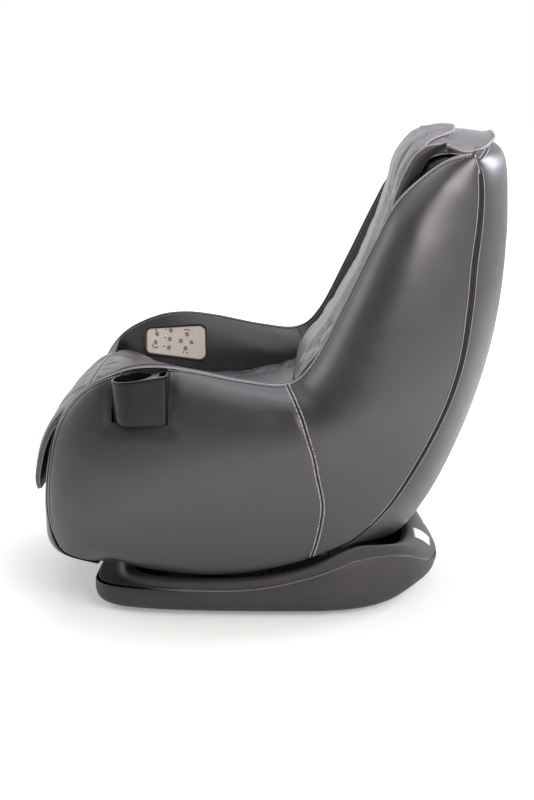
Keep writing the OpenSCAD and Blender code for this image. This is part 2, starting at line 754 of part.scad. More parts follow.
// The padded cross piece behind the head, with a lip down behind the head pillow.
module head_rail() {
    color(leather_dark)
        upright_plate(-inside_x + seat_gap, inside_x - seat_gap)
            polygon(head_rail_points);
}
module seat_pan() {
    color("#b99b6b")
        translate([-inside_x + seat_gap, -370, seat_plate_z])
            cube([2 * (inside_x - seat_gap), 424, pan_t]);
}
liner_r = back_face_r + back_pad_t + 2 * seat_gap;
module back_liner() {
    color(leather_dark)
        track_arc(liner_r, liner_r + liner_t,
            -inside_x + seat_gap, inside_x - seat_gap, 48.6, head_a - 1);
}
module controller_box() {
    color("#9a9da0")
        translate([-110, -170, seat_plate_z - seat_gap - 44])
            cube([220, 150, 44]);
}

// ---- pads ------------------------------------------------------------------------------
pad_shares = [-1, -0.985, -0.93, -0.8, -0.66, -0.62, -0.58, -0.3, 0,
    0.3, 0.58, 0.62, 0.66, 0.8, 0.93, 0.985, 1];
// One section of a pad: face is the middle of its face, out points out of the face, and
// the face falls by droop towards its two edges. A sewn line runs at 0.62 of its half width.
function pad_section(face, out, half, t, droop, sewn) =
    let (place = function (s, depth)
        [s * half, face[0] - depth * out[0], face[1] - depth * out[1] - droop * s * s])
    let (crown = function (s) t * (1 - pow(1 - pow(abs(s), 5), 0.5)) * 0.62
        + (abs(abs(s) - 0.62) < 0.01 ? sewn : 0))
    let (n = len(pad_shares))
    concat(
        [for (s = pad_shares) place(s, crown(s))],
        [for (k = [n - 1:-1:0]) place(pad_shares[k] * 0.975, t)]
    );

SEAT_ROWS = 22;
seat_line = [
    [46, 440], [0, 426], [-100, 411], [-200, 416], [-275, 437], [-326, 457],
    [-362, 461], [-404, 441], [-441, 399], [-464, 349], [-476, 298], [-479, 268], [-477, 246],
];
seat_droop = [3, 6, 12, 14, 16, 16, 14, 9, 5, 3, 3, 3, 3];
seat_thick = [0.7, 1, 1, 1, 1, 1, 0.95, 0.85, 0.7, 0.6, 0.55, 0.5, 0.35];
seat_half = [0.94, 1, 1, 1, 1, 1, 1, 0.995, 0.99, 0.985, 0.98, 0.97, 0.9];
module seat_pad() {
    color(pad_grey)
        loft([
            for (i = [0:SEAT_ROWS])
                let (t = i / SEAT_ROWS)
                pad_section(along(seat_line, t), -left_of(heading(seat_line, t)),
                    seat_pad_w / 2 * along(seat_half, t), seat_pad_t * along(seat_thick, t),
                    along(seat_droop, t), 2)
        ]);
}
CUSHION_ROWS = 10;
// The foam block between the seat pan and the seat pad.
module seat_cushion() {
    half = inside_x - 2;
    color(leather_dark)
        loft([
            for (i = [0:CUSHION_ROWS])
                let (t = lerp(0.02, 0.5, i / CUSHION_ROWS))
                let (p = along(seat_line, t), out = -left_of(heading(seat_line, t)))
                let (top = p - (seat_pad_t + seat_gap + 4) * out)
                let (bottom = [clamp(top[0], -368, 60), seat_plate_z + pan_t + seat_gap])
                let (fall = along(seat_droop, t))
                let (drop = [for (s = [-1, -0.94, -0.5, 0, 0.5, 0.94, 1])
                    fall * s * s + (abs(s) > 0.95 ? 6 : 0)])
                concat(
                    [for (k = [0:6]) let (s = [-1, -0.94, -0.5, 0, 0.5, 0.94, 1][k])
                        [s * half, top[0], max(top[1] - drop[k], bottom[1] + 2)]],
                    [for (s = [1, 0.94, 0.5, 0, -0.5, -0.94, -1]) [s * half, bottom[0], bottom[1]]]
                )
        ]);
}

BACK_PAD_ROWS = 32;
function face_point(a) = polar(track_c, back_face_r, a);
back_pad_line = concat(
    [for (k = [0, 0.265, 0.55, 0.795, 1]) face_point(lerp(50.5, head_a - 0.8, k))],
    [
        [254, back_h - 76], [276, back_h - 33], [305, back_h - 8], [345, back_h],
        [380, back_h - 3], [420, back_h - 6], [450, back_h - 12],
    ]
);
back_pad_thick = [
    0.8 * back_pad_t, back_pad_t, back_pad_t, back_pad_t, back_pad_t, pillow_t, pillow_t,
    pillow_t, 0.75 * pillow_t, flap_t, flap_t, flap_t * 0.8,
];
back_pad_half = [
    0.95 * back_pad_w, back_pad_w, back_pad_w, back_pad_w, back_pad_w, back_pad_w,
    back_pad_w, back_pad_w, 1.02 * back_pad_w, 0.92 * head_flap_w, 0.76 * head_flap_w,
    0.3 * head_flap_w,
] / 2;
back_pad_droop = [0, 0, 0, 0, 0, 8, 10, 12, 18, 27, 16, 4];
module back_pad() {
    color(pad_grey)
        loft([
            for (i = [0:BACK_PAD_ROWS])
                let (t = i / BACK_PAD_ROWS)
                pad_section(along(back_pad_line, t), left_of(heading(back_pad_line, t)),
                    along(back_pad_half, t), along(back_pad_thick, t),
                    along(back_pad_droop, t), 2)
        ]);
}

// ---- massage track and carriage --------------------------------------------------------
track_a1 = 52.5;
track_a2 = head_a + 1.4;
travel_rack_teeth = 2 * round((track_r + track_h / 2 + 6) / travel_module);
travel_rack_r = travel_module * travel_rack_teeth / 2;
travel_c = travel_rack_r + travel_module * travel_teeth / 2;
track_x2 = inside_x - seat_gap;
track_x1 = track_x2 - track_w;
travel_rack_w = 10;
rack_x1 = track_x1 + 4;
module track(side) {
    r1 = track_r - track_h / 2;
    r2 = track_r + track_h / 2;
    color(steel)
        mirror([side > 0 ? 0 : 1, 0, 0]) {
            track_arc(r1, r1 + track_wall, track_x1, track_x2, track_a1, track_a2);
            track_arc(r2 - track_wall, r2, track_x1, track_x2, track_a1, track_a2);
            track_arc(r1, r2, track_x2 - track_wall, track_x2, track_a1, track_a2);
            upright_plate(rack_x1, rack_x1 + travel_rack_w)
                polygon(rack_outline(track_c, travel_module, travel_rack_teeth, r2 - 0.5,
                    track_a1 + 0.5, track_a2 - 0.5, carriage_a));
        }
}
guide_r = track_h / 2 - track_wall - guide_gap;
guide_c = sqrt(pow(track_r, 2) - pow(guide_reach, 2));
cheek_x = track_x1 - 12;
cheek_t = 5;
axle_d = 10;
knead_r = track_r + 12;
knead_t = 8;
shaft_d = 14;
// Places children on the carriage, r from the track's centre and t up along the track.
module on_carriage(r, t) {
    translate([0, track_c[0], track_c[1]])
        rotate([0, 90, 0])
            rotate([0, 0, carriage_a])
                translate([r, t, 0])
                    children();
}
module shaft(r, t, d, x1, x2) {
    on_carriage(r, t)
        translate([0, 0, x1])
            cylinder(d = d, h = x2 - x1, $fn = 64);
}
bar_r = track_r + 46;
bar_h = 12;
module carriage_frame() {
    hole = 0.5;
    color(steel)
        difference() {
            union() {
                for (side = [-1, 1])
                    on_carriage(0, 0)
                        translate([0, 0, side > 0 ? cheek_x - cheek_t : -cheek_x])
                            linear_extrude(cheek_t)
                                polygon([
                                    [track_r - 12, -guide_reach - 12],
                                    [track_r + 12, -guide_reach - 12],
                                    [track_r + 62, -34], [track_r + 62, 44],
                                    [track_r + 12, guide_reach + 12],
                                    [track_r - 12, guide_reach + 12],
                                ]);
                on_carriage(0, 0)
                    translate([bar_r + 4, -30, -cheek_x])
                        cube([bar_h, 70, 2 * cheek_x]);
            }
            for (t = [-guide_reach, guide_reach])
                shaft(guide_c, t, axle_d + hole, -cheek_x - 1, cheek_x + 1);
            shaft(knead_r, knead_t, shaft_d + hole, -cheek_x - 1, cheek_x + 1);
            shaft(travel_c, 0, axle_d + hole, -cheek_x - 1, cheek_x + 1);
            on_carriage(0, 0)
                translate([travel_c, 0, 0])
                    cylinder(d = 30, h = 2 * cheek_x - 2 * cheek_t, center = true, $fn = 64);
        }
}
module guide_axle(t) {
    color(steel)
        shaft(guide_c, t, axle_d, -track_x2 + track_wall + 2, track_x2 - track_wall - 2);
    color("#d8d4cc")
        for (side = [-1, 1]) {
            x = side * (track_x1 + track_x2 - track_wall) / 2;
            shaft(guide_c, t, 2 * guide_r, x - 9, x + 9);
        }
}
module travel_pinions() {
    color(steel) {
        shaft(travel_c, 0, axle_d, -rack_x1 - travel_rack_w, rack_x1 + travel_rack_w);
        for (x = [-rack_x1 - travel_rack_w, rack_x1])
            on_carriage(travel_c, 0)
                translate([0, 0, x])
                    rotate([0, 0, 180])
                        linear_extrude(travel_rack_w)
                            polygon(pinion_outline(travel_module, travel_teeth));
        }
}
gearbox_x = 20;
module travel_motor() {
    color(plastic_dark)
        on_carriage(0, 0)
            translate([bar_r + 4 + bar_h + seat_gap, -28, -gearbox_x - 90])
                cube([30, 56, 90]);
}
module knead_motor() {
    color(plastic_dark)
        on_carriage(0, 0)
            translate([bar_r + 4 + bar_h + seat_gap, -28, gearbox_x])
                cube([30, 56, 90]);
}
hub_w = 30;
module knead_shaft() {
    color(steel) {
        shaft(knead_r, knead_t, shaft_d, -cheek_x - 2, cheek_x + 2);
        shaft(knead_r, knead_t, 46, -8, 8);
    }
}
head_gap = 6;
head_c = liner_r + liner_t + head_gap + head_r;
arm_bore = shaft_d + 0.6;
pin_d = 8;
module massage_arm(side) {
    hub = 15;
    lug = 9;
    root = [knead_r, knead_t];
    color("#2c2c2e")
        difference() {
            on_carriage(0, 0)
                translate([0, 0, side * head_x - 3])
                    linear_extrude(6)
                        union() {
                            translate([knead_r, knead_t]) circle(hub, $fn = 64);
                            for (s = [-1, 1]) {
                                tip = [head_c, knead_t + s * head_reach];
                                broad = left_of(unit(tip - root));
                                translate(tip) circle(lug, $fn = 64);
                                polygon([
                                    root + 11 * broad, root - 11 * broad,
                                    tip - 7 * broad, tip + 7 * broad,
                                ]);
                            }
                        }
            shaft(knead_r, knead_t, arm_bore, side * head_x - 20, side * head_x + 20);
            for (s = [-1, 1])
                shaft(head_c, knead_t + s * head_reach, pin_d + 0.4, side * head_x - 20,
                    side * head_x + 20);
        }
}
// A massage roller: a split dished wheel on its pin, one half on each side of the arm.
module massage_roller(side, s) {
    t = knead_t + s * head_reach;
    x = side * head_x;
    cheek = 3 + 1;
    color("#e3e0d8") {
        for (m = [-1, 1])
            on_carriage(head_c, t)
                translate([0, 0, x + m * cheek])
                    mirror([0, 0, m > 0 ? 0 : 1])
                        rotate_extrude($fn = 64)
                            polygon([
                                [0, 0], [head_r - 2, 0], [head_r, 2], [head_r, 7],
                                [head_r - 5, head_w / 2 - cheek], [0, head_w / 2 - cheek],
                            ]);
        shaft(head_c, t, pin_d, x - cheek - 1, x + cheek + 1);
    }
}

// ---- control panel ---------------------------------------------------------------------
// The panel lies on the inner slope of the right arm. Its own axes: u runs to the rear,
// v up the slope and w out of it.
panel_y = -245;
panel_lean = atan((crest_x - crest_band - wall_x) / arm_slope);
panel_drop = 64;
panel_crest = arm_h - 1;
panel_face = -(crest_x - crest_band) + (crest_x - crest_band - wall_x) * panel_drop / arm_slope;
module on_panel() {
    translate([panel_face, panel_y, panel_crest - panel_drop])
        rotate([0, -panel_lean, 0])
            rotate([90, 0, 90])
                children();
}
panel_points = [
    [-69, -16], [-66, 34], [-52, 40], [62, 41], [76, 26], [69, -34], [54, -41], [-58, -22],
];
bezel_deep = 6;
panel_up = 2;
button_len = 4.4;
button_foot = panel_up + button_out - button_len;
well_floor = button_foot - button_travel - 2 * seat_gap;
module panel_outline(grow) {
    offset(r = grow + 8, $fn = 32)
        offset(delta = -8)
            polygon(panel_points);
}
module panel_bezel() {
    color("#2b2226")
        on_panel()
            translate([0, 0, panel_up - bezel_deep])
                difference() {
                    linear_extrude(bezel_deep)
                        panel_outline(bezel_w);
                    translate([0, 0, bezel_deep - panel_t - seat_gap])
                        linear_extrude(bezel_deep)
                            panel_outline(seat_gap);
                    for (b = button_places)
                        translate([b[0], b[1], well_floor - panel_up + bezel_deep])
                            cylinder(d = button_d + 2 * button_gap, h = bezel_deep, $fn = 32);
                }
}
button_places = [
    [-38, 19], [-41, -1], [-6, 27], [-8, 7], [-10, -13],
    [32, 19], [18, 3], [43, 0], [29, -14],
];
module panel_plate() {
    color("#cbc2bb")
        on_panel()
            difference() {
                translate([0, 0, panel_up - panel_t])
                    linear_extrude(panel_t)
                        panel_outline(0);
                for (b = button_places)
                    translate([b[0], b[1], -10])
                        cylinder(d = button_d + 2 * button_gap, h = 20, $fn = 32);
            }
}
module button(i) {
    b = button_places[i];
    color("#a9a39c")
        on_panel()
            translate([b[0], b[1], button_foot])
                rotate_extrude($fn = 48)
                    polygon([
                        [0, 0], [button_d / 2, 0], [button_d / 2, button_len - 0.5],
                        [button_d / 2 - 0.5, button_len], [0, button_len],
                    ]);
}
module panel_pocket() {
    on_panel()
        translate([0, 0, panel_up - bezel_deep - seat_gap])
            linear_extrude(40)
                panel_outline(bezel_w + seat_gap);
}

// ---- cup holder ------------------------------------------------------------------------
cup_x = chair_w / 2 - 3 - cup_d / 2;
cup_y = -256;
cup_z = 421;
slot_l = 70;
slot_w = 13;
module cup_outline(grow) {
    circle(d = cup_d + 2 * grow, $fn = 96);
    translate([-cup_d / 2 - grow, 0])
        square([cup_d * 0.86 + 2 * grow, slot_l + grow]);
}
module cup_holder() {
    color("#1d1d20")
        difference() {
            translate([cup_x, cup_y, cup_z])
                linear_extrude(cup_h + 8)
                    cup_outline(0);
            translate([cup_x, cup_y, cup_z + cup_wall])
                cylinder(d = cup_d - 2 * cup_wall, h = cup_h + 10, $fn = 96);
            translate([cup_x - 24, cup_y + slot_l - slot_w - cup_wall, cup_z + cup_wall])
                cube([44, slot_w, cup_h + 10]);
            translate([cup_x - 60, cup_y - 60, cup_z + cup_h - 10])
                rotate([7, 0, 0])
                    cube([160, 200, 60]);
        }
}
module side_panel_left() {
    color(leather)
        difference() {
            side_panel_blank();
            translate([cup_x, cup_y, cup_z - seat_gap])
                linear_extrude(cup_h + 100)
                    cup_outline(seat_gap);
        }
}
module side_panel_right() {
    color(leather)
        difference() {
            mirror([1, 0, 0]) side_panel_blank();
            panel_pocket();
        }
}

base_lower_shell();
base_upper_shell();
base_frame();
feet();
tilt_motor();
power_supply();
inlet_plate();
power_switch();
roller_set(-front_roller_a);  // front_rollers
roller_set(rear_roller_a);  // rear_rollers
tilt_pinion();
side_panel_left();
side_panel_right();
back_cover();
front_panel();
belly_plate();
frame_side(1);  // frame_side_left
frame_side(-1);  // frame_side_right
frame_tubes();
seat_pan();
seat_cushion();
seat_pad();
back_liner();
back_pad();
head_rail();
rocker_rail(1);  // rocker_rail_left
rocker_rail(-1);  // rocker_rail_right
tilt_rack();
track(1);  // track_left
track(-1);  // track_right
controller_box();
panel_bezel();
panel_plate();
cup_holder();
carriage_frame();
travel_motor();
knead_motor();
guide_axle(guide_reach);  // upper_guide_axle
guide_axle(-guide_reach);  // lower_guide_axle
travel_pinions();
knead_shaft();
massage_arm(1);  // massage_arm_left
massage_arm(-1);  // massage_arm_right
massage_roller(1, 1);  // massage_roller_1
massage_roller(1, -1);  // massage_roller_2
massage_roller(-1, 1);  // massage_roller_3
massage_roller(-1, -1);  // massage_roller_4
button(0);  // button_1
button(1);  // button_2
button(2);  // button_3
button(3);  // button_4
button(4);  // button_5
button(5);  // button_6
button(6);  // button_7
button(7);  // button_8
button(8);  // button_9
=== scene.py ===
"""Compact massage chair: upholstery, base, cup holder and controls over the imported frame.

Lengths in the classes are millimetres; meshes are written in metres. X runs across the
chair (+X is the sitter's left), -Y is the front and +Z is up.
"""

import json
import logging
import math
from collections.abc import Callable, Iterable, Sequence
from dataclasses import dataclass, field
from enum import Enum
from typing import Any

import bmesh
import bpy
from mathutils import Matrix, Vector
from mathutils.bvhtree import BVHTree
from mathutils.geometry import convex_hull_2d
from mathutils.kdtree import KDTree

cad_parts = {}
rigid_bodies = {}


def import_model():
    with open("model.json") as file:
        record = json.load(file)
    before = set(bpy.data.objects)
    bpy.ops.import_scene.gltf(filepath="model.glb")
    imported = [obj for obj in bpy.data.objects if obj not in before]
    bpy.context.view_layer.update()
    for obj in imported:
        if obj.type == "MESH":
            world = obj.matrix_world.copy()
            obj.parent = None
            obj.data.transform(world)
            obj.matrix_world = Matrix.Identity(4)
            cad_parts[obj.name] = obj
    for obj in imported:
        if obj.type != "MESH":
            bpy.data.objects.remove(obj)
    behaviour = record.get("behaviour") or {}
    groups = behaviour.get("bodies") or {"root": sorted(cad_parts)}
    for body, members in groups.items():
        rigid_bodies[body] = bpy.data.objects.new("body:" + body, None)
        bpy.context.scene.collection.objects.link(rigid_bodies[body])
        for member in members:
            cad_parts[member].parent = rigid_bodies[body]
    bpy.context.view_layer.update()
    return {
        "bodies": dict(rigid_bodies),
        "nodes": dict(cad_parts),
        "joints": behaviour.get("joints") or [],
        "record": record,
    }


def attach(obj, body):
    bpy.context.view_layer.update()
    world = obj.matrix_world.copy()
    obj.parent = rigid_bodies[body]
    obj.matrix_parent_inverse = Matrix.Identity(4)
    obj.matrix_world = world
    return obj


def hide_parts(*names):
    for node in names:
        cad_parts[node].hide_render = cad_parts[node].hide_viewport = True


log = logging.getLogger("massage_chair")
MM = 0.001
WAVE = 0.32  # metres, about, between two bands of a wave texture at scale 1
MADE: dict[str, bpy.types.Material] = {}
Place = Callable[[float, float], Vector]
Tree = bpy.types.NodeTree
Socket = bpy.types.NodeSocket
Object = bpy.types.Object
BMesh = bmesh.types.BMesh


class Side(Enum):
    """A side of the chair by the sign of its X; left is the sitter's left."""

    LEFT = 1
    RIGHT = -1

    @property
    def word(self) -> str:
        """The side's word in the names of pieces."""
        return self.name.lower()

    def carry(self, p: Vector) -> Vector:
        """A place of the left side, in millimetres, carried to this side in metres."""
        return Vector((p.x * self.value, p.y, p.z)) * MM


# ---- small maths ---------------------------------------------------------------------------------
def lerp(a: float, b: float, t: float) -> float:
    """Value at the share t between a and b."""
    return a + (b - a) * t


def clamp(value: float, low: float, high: float) -> float:
    """Value kept between low and high."""
    return max(low, min(high, value))


def ease(t: float) -> float:
    """Smooth step of a share."""
    return t * t * (3 - 2 * t)


def hump(distance: float, width: float) -> float:
    """Bell curve: 1 at no distance, near 0 past twice the width."""
    return math.exp(-((distance / width) ** 2))


class Line:
    """Smooth curve through points of the Y-Z plane, or through plain numbers."""

    def __init__(self, points: Iterable[Sequence[float]]) -> None:
        """Keep the points as vectors."""
        self.points = [Vector(p) for p in points]

    def on(self, u: float) -> Vector:
        """Point at u, which counts the points from 0.

        Args:
            u: Place along the points; whole numbers fall on them.

        Returns:
            The point between its neighbours.
        """
        last = len(self.points) - 1
        i = int(clamp(math.floor(u), 0, last - 1))
        t = u - i
        a, b = self.points[max(i - 1, 0)], self.points[i]
        c, d = self.points[i + 1], self.points[min(i + 2, last)]
        return 0.5 * (
            2 * b + (c - a) * t + (2 * a - 5 * b + 4 * c - d) * t * t + (3 * b - a - 3 * c + d) * t**3
        )

    def at(self, t: float) -> Vector:
        """Point at the share t of the curve."""
        return self.on(t * (len(self.points) - 1))

    def heading(self, t: float) -> Vector:
        """Direction of the curve at the share t."""
        return (self.at(min(t + 0.01, 1)) - self.at(max(t - 0.01, 0))).normalized()


def scale_line(values: Sequence[float]) -> Callable[[float], float]:
    """Smooth function of a share through plain numbers."""
    line = Line([(v, 0.0) for v in values])
    return lambda t: line.at(t).x


def left_of(v: Vector) -> Vector:
    """A direction of the Y-Z plane turned a quarter to its left."""
    return Vector((-v.y, v.x))


def round_at(degrees: float) -> tuple[float, float]:
    """Cosine and sine of an angle."""
    return math.cos(math.radians(degrees)), math.sin(math.radians(degrees))


def polar(centre: Vector, radius: float, degrees: float) -> Vector:
    """Point of the Y-Z plane at an angle from straight down about a centre."""
    a = math.radians(degrees)
    return centre + radius * Vector((math.sin(a), -math.cos(a)))


def along(steps: int, made: Callable[[float], Any]) -> list:
    """What a function makes at even shares from 0 to 1."""
    return [made(i / steps) for i in range(steps + 1)]


def at(x: float, p: Sequence[float]) -> Vector:
    """Point in metres at x and a place of the Y-Z plane, both in millimetres."""
    return Vector((x, p[0], p[1])) * MM


def linear(code: str) -> tuple[float, float, float, float]:
    """Linear colour of an sRGB hex code such as '3a3b3c'.

    Args:
        code: Six hex digits.

    Returns:
        Red, green, blue and an alpha of 1.
    """
    parts = [int(code[i : i + 2], 16) / 255 for i in (0, 2, 4)]
    made = [c / 12.92 if c <= 0.04045 else ((c + 0.055) / 1.055) ** 2.4 for c in parts]
    return (made[0], made[1], made[2], 1.0)


# ---- finishes ------------------------------------------------------------------------------------
def add(tree: Tree, kind: str, inputs: dict | None = None, **settings) -> bpy.types.Node:
    """Add a node with its settings, and its inputs as values or as links.

    Args:
        tree: The node tree to add to.
        kind: Type name of the node.
        inputs: Values or output sockets by input name or index.
        settings: Attributes of the node.

    Returns:
        The new node.
    """
    made = tree.nodes.new(kind)
    for key, value in settings.items():
        setattr(made, key, value)
    for key, value in (inputs or {}).items():
        if isinstance(value, Socket):
            tree.links.new(value, made.inputs[key])
        else:
            made.inputs[key].default_value = value
    return made


def noise(tree: Tree, coords: Socket, spacing: float, **inputs) -> Socket:
    """Noise whose features are a spacing in millimetres apart.

    Args:
        tree: The node tree to add to.
        coords: Object coordinates.
        spacing: Distance of the features in millimetres.
        inputs: Further inputs of the noise by name.

    Returns:
        The factor of the noise.
    """
    values = {"Vector": coords, "Scale": 1 / (spacing * MM), **inputs}
    return add(tree, "ShaderNodeTexNoise", values).outputs["Fac"]


def combined(tree: Tree, operation: str, a: Socket | float, b: Socket | float) -> Socket:
    """Two values put through a math operation.

    Args:
        tree: The node tree to add to.
        operation: Name of the math operation.
        a: First value.
        b: Second value.

    Returns:
        The result.
    """
    return add(tree, "ShaderNodeMath", {0: a, 1: b}, operation=operation).outputs[0]


def remapped(tree: Tree, value: Socket, source: Sequence[float], target: Sequence[float],
             **settings) -> Socket:
    """A value carried from one range to another.

    Args:
        tree: The node tree to add to.
        value: The value.
        source: Its two ends as it comes.
        target: The two ends that they become.
        settings: Attributes of the node.

    Returns:
        The carried value.
    """
    names = ("From Min", "From Max", "To Min", "To Max")
    inputs = {"Value": value, **dict(zip(names, (*source, *target)))}
    return add(tree, "ShaderNodeMapRange", inputs, **settings).outputs["Result"]


def ramp(tree: Tree, factor: Socket, *stops: tuple[float, Sequence[float]]) -> Socket:
    """Colour of a ramp through pairs of a position and a linear colour.

    Args:
        tree: The node tree to add to.
        factor: Socket that drives the ramp.
        stops: Position and linear colour of each stop.

    Returns:
        The colour of the ramp.
    """
    made = add(tree, "ShaderNodeValToRGB", {"Fac": factor})
    elements = made.color_ramp.elements
    while len(elements) < len(stops):
        elements.new(0.5)
    for element, (place, colour) in zip(elements, stops):
        element.position, element.color = place, colour
    return made.outputs["Color"]


@dataclass(frozen=True)
class Finish:
    """A surface finish: colour range, roughness range and a fine relief.

    The relief is measured in millimetres; relief_mm is its spacing and relief_depth its
    height.
    """

    name: str
    colour: str
    shade: str
    roughness: float = 0.5
    rough_spread: float = 0.06
    mottle_mm: float = 60.0
    relief_mm: float = 1.0
    relief_depth: float = 0.05
    metallic: float = 0.0
    specular: float = 0.5
    coat: float = 0.0
    coat_roughness: float = 0.2
    sheen: float = 0.0

    def relief(self, tree: Tree, coords: Socket) -> Socket:
        """Height of the fine relief; plain grain unless a finish has its own.

        Args:
            tree: The node tree to add to.
            coords: Object coordinates.

        Returns:
            The height.
        """
        return noise(tree, coords, self.relief_mm, Detail=3.0)

    def colours(self, tree: Tree, coords: Socket) -> Socket:
        """Colour of the surface, varied softly between its two tones.

        Args:
            tree: The node tree to add to.
            coords: Object coordinates.

        Returns:
            The colour.
        """
        mottle = noise(tree, coords, self.mottle_mm, Detail=4.0, Roughness=0.55)
        return ramp(tree, mottle, (0.34, linear(self.shade)), (0.66, linear(self.colour)))

    def material(self) -> bpy.types.Material:
        """The material of this finish, made once.

        Returns:
            The material, shared by every piece of this finish.
        """
        if self.name in MADE:
            return MADE[self.name]
        made = MADE[self.name] = bpy.data.materials.new(self.name)
        made.use_nodes = True
        tree = made.node_tree
        tree.nodes.clear()
        coords = add(tree, "ShaderNodeTexCoord").outputs["Object"]
        wear = noise(tree, coords, self.mottle_mm / 2.2)
        rough = (self.roughness - self.rough_spread, self.roughness + self.rough_spread)
        grain = {"Height": self.relief(tree, coords), "Distance": self.relief_depth * MM, "Strength": 1.0}
        surface = add(
            tree,
            "ShaderNodeBsdfPrincipled",
            {
                "Base Color": self.colours(tree, coords),
                "Roughness": remapped(tree, wear, (0.3, 0.7), rough),
                "Metallic": self.metallic,
                "Specular IOR Level": self.specular,
                "Coat Weight": self.coat,
                "Coat Roughness": self.coat_roughness,
                "Sheen Weight": self.sheen,
                "Normal": add(tree, "ShaderNodeBump", grain).outputs["Normal"],
            },
        )
        add(tree, "ShaderNodeOutputMaterial", {"Surface": surface.outputs["BSDF"]})
        return made


@dataclass(frozen=True)
class CoatedLeather(Finish):
    """Polyurethane-coated leather: pebbled cells with a slow pucker under them."""

    pucker_mm: float = 48.0
    pucker_depth: float = 0.55

    def relief(self, tree: Tree, coords: Socket) -> Socket:
        """Pebble cells on a slow pucker, as one height.

        Args:
            tree: The node tree to add to.
            coords: Object coordinates.

        Returns:
            The height.
        """
        inputs = {"Vector": coords, "Scale": 1 / (self.relief_mm * MM)}
        cells = add(tree, "ShaderNodeTexVoronoi", inputs, feature="SMOOTH_F1")
        slow = noise(tree, coords, self.pucker_mm, Detail=1.5, Roughness=0.45)
        raised = combined(tree, "MULTIPLY", slow, self.pucker_depth / self.relief_depth)
        return combined(tree, "ADD", raised, cells.outputs["Distance"])


@dataclass(frozen=True)
class Twill(Finish):
    """Woven tape or cloth: two thread waves crossing at the thread spacing."""

    def relief(self, tree: Tree, coords: Socket) -> Socket:
        """Height of the crossing threads.

        Args:
            tree: The node tree to add to.
            coords: Object coordinates.

        Returns:
            The height.
        """
        inputs = {"Vector": coords, "Scale": WAVE / (self.relief_mm * MM), "Distortion": 0.6}
        threads = [add(tree, "ShaderNodeTexWave", inputs, bands_direction=way) for way in ("DIAGONAL", "Z")]
        return combined(tree, "MAXIMUM", *(thread.outputs["Fac"] for thread in threads))


@dataclass(frozen=True)
class Brushed(Finish):
    """Rolled or brushed metal: fine lines stretched along X."""

    def relief(self, tree: Tree, coords: Socket) -> Socket:
        """Height of lines stretched twenty times along X.

        Args:
            tree: The node tree to add to.
            coords: Object coordinates.

        Returns:
            The height.
        """
        drawn = add(tree, "ShaderNodeMapping", {"Vector": coords, "Scale": (0.05, 1.0, 1.0)})
        return noise(tree, drawn.outputs["Vector"], self.relief_mm, Detail=2.0)


@dataclass(frozen=True)
class Ply(Finish):
    """Birch plywood: long grain along X with darker rings, whose spacing is in millimetres."""

    ring_mm: float = 35.5

    def colours(self, tree: Tree, coords: Socket) -> Socket:
        """Grain bands from a distorted wave.

        Args:
            tree: The node tree to add to.
            coords: Object coordinates.

        Returns:
            The colour.
        """
        drawn = add(tree, "ShaderNodeMapping", {"Vector": coords, "Scale": (0.15, 1.0, 1.0)})
        inputs = {"Vector": drawn.outputs["Vector"], "Scale": WAVE / (self.ring_mm * MM),
                  "Distortion": 7.0, "Detail": 3.0}
        bands = add(tree, "ShaderNodeTexWave", inputs).outputs["Fac"]
        return ramp(tree, bands, (0.1, linear(self.shade)), (0.9, linear(self.colour)))


# Polyurethane-coated leather drawn tight over the shell: near black with a broad, soft gloss.
# Its pebbles of about 1 mm are drawn 1.6 mm apart so that they show.
SHELL = CoatedLeather("pebbled_shell_leather", "2d2a2c", "282527", 0.36, 0.03, 90, 1.6, 0.05, specular=0.95)
# The same leather over wadding: softer grain and pucker under a thin, shinier coat. Its lighter grey is
# painted light, standing in for the light on the pads' upturned faces.
PAD = CoatedLeather("pebbled_pad_leather", "4f4b50", "474448", 0.42, 0.03, 80, 1.6, 0.06,
                    specular=0.85, coat=0.45, coat_roughness=0.24, pucker_depth=0.8)
# The same leather, finer in grain, drawn round a cord: a light line with a narrow gleam. Its light grey is a
# painted highlight; the leather itself is dark.
EDGING_HIGHLIGHT = CoatedLeather("piping_leather", "a39ea1", "979295", 0.3, 0.03, 40, 1.2, 0.03,
                       specular=0.6, pucker_depth=0.1)
# Twisted polyester thread: a light, matt line. Its plies of about 0.3 mm are drawn 0.5 mm apart
# so that they show.
THREAD = Twill("seam_thread", "b7b2b4", "a29da0", 0.5, 0.05, 8, 0.5, 0.08)
# The same thread dyed plum, which reads as a dull reddish line.
PLUM_THREAD = Twill("plum_thread", "8a5560", "7a4853", 0.5, 0.05, 8, 0.5, 0.08)
# Painted shade in the fold where two panels are sewn: a cord almost black and without gloss.
SEAM_SHADE = Finish("seam_shadow", "1a181a", "141214", 0.7, 0.05, 10, 0.6, 0.05, specular=0.2)
# Woven polyester tape: flat black with the ribs of the weave.
TAPE = Twill("zip_tape", "242226", "1b1a1d", 0.65, 0.05, 10, 0.9, 0.15, specular=0.3)
# Cotton twill: dull black with a faint fuzz at a low angle. Its threads of about 0.5 mm are drawn
# 1.4 mm apart so that they show.
LINING = Twill("black_lining", "322f34", "262428", 0.75, 0.05, 25, 1.4, 0.2, specular=0.25, sheen=0.15)
# ABS moulded in a finely sparked tool: even dark grey, satin rather than glossy.
BASE = Finish("moulded_abs_base", "3a3738", "343133", 0.5, 0.03, 70, 1.4, 0.012, specular=0.45)
# The lip where the two mouldings meet: a lighter, shinier line, whose light colour is a painted highlight on
# the lip.
PARTING_HIGHLIGHT = Finish("burnished_parting_bead", "67636a", "5d5a5f", 0.3, 0.03, 60, 1.2, 0.01)
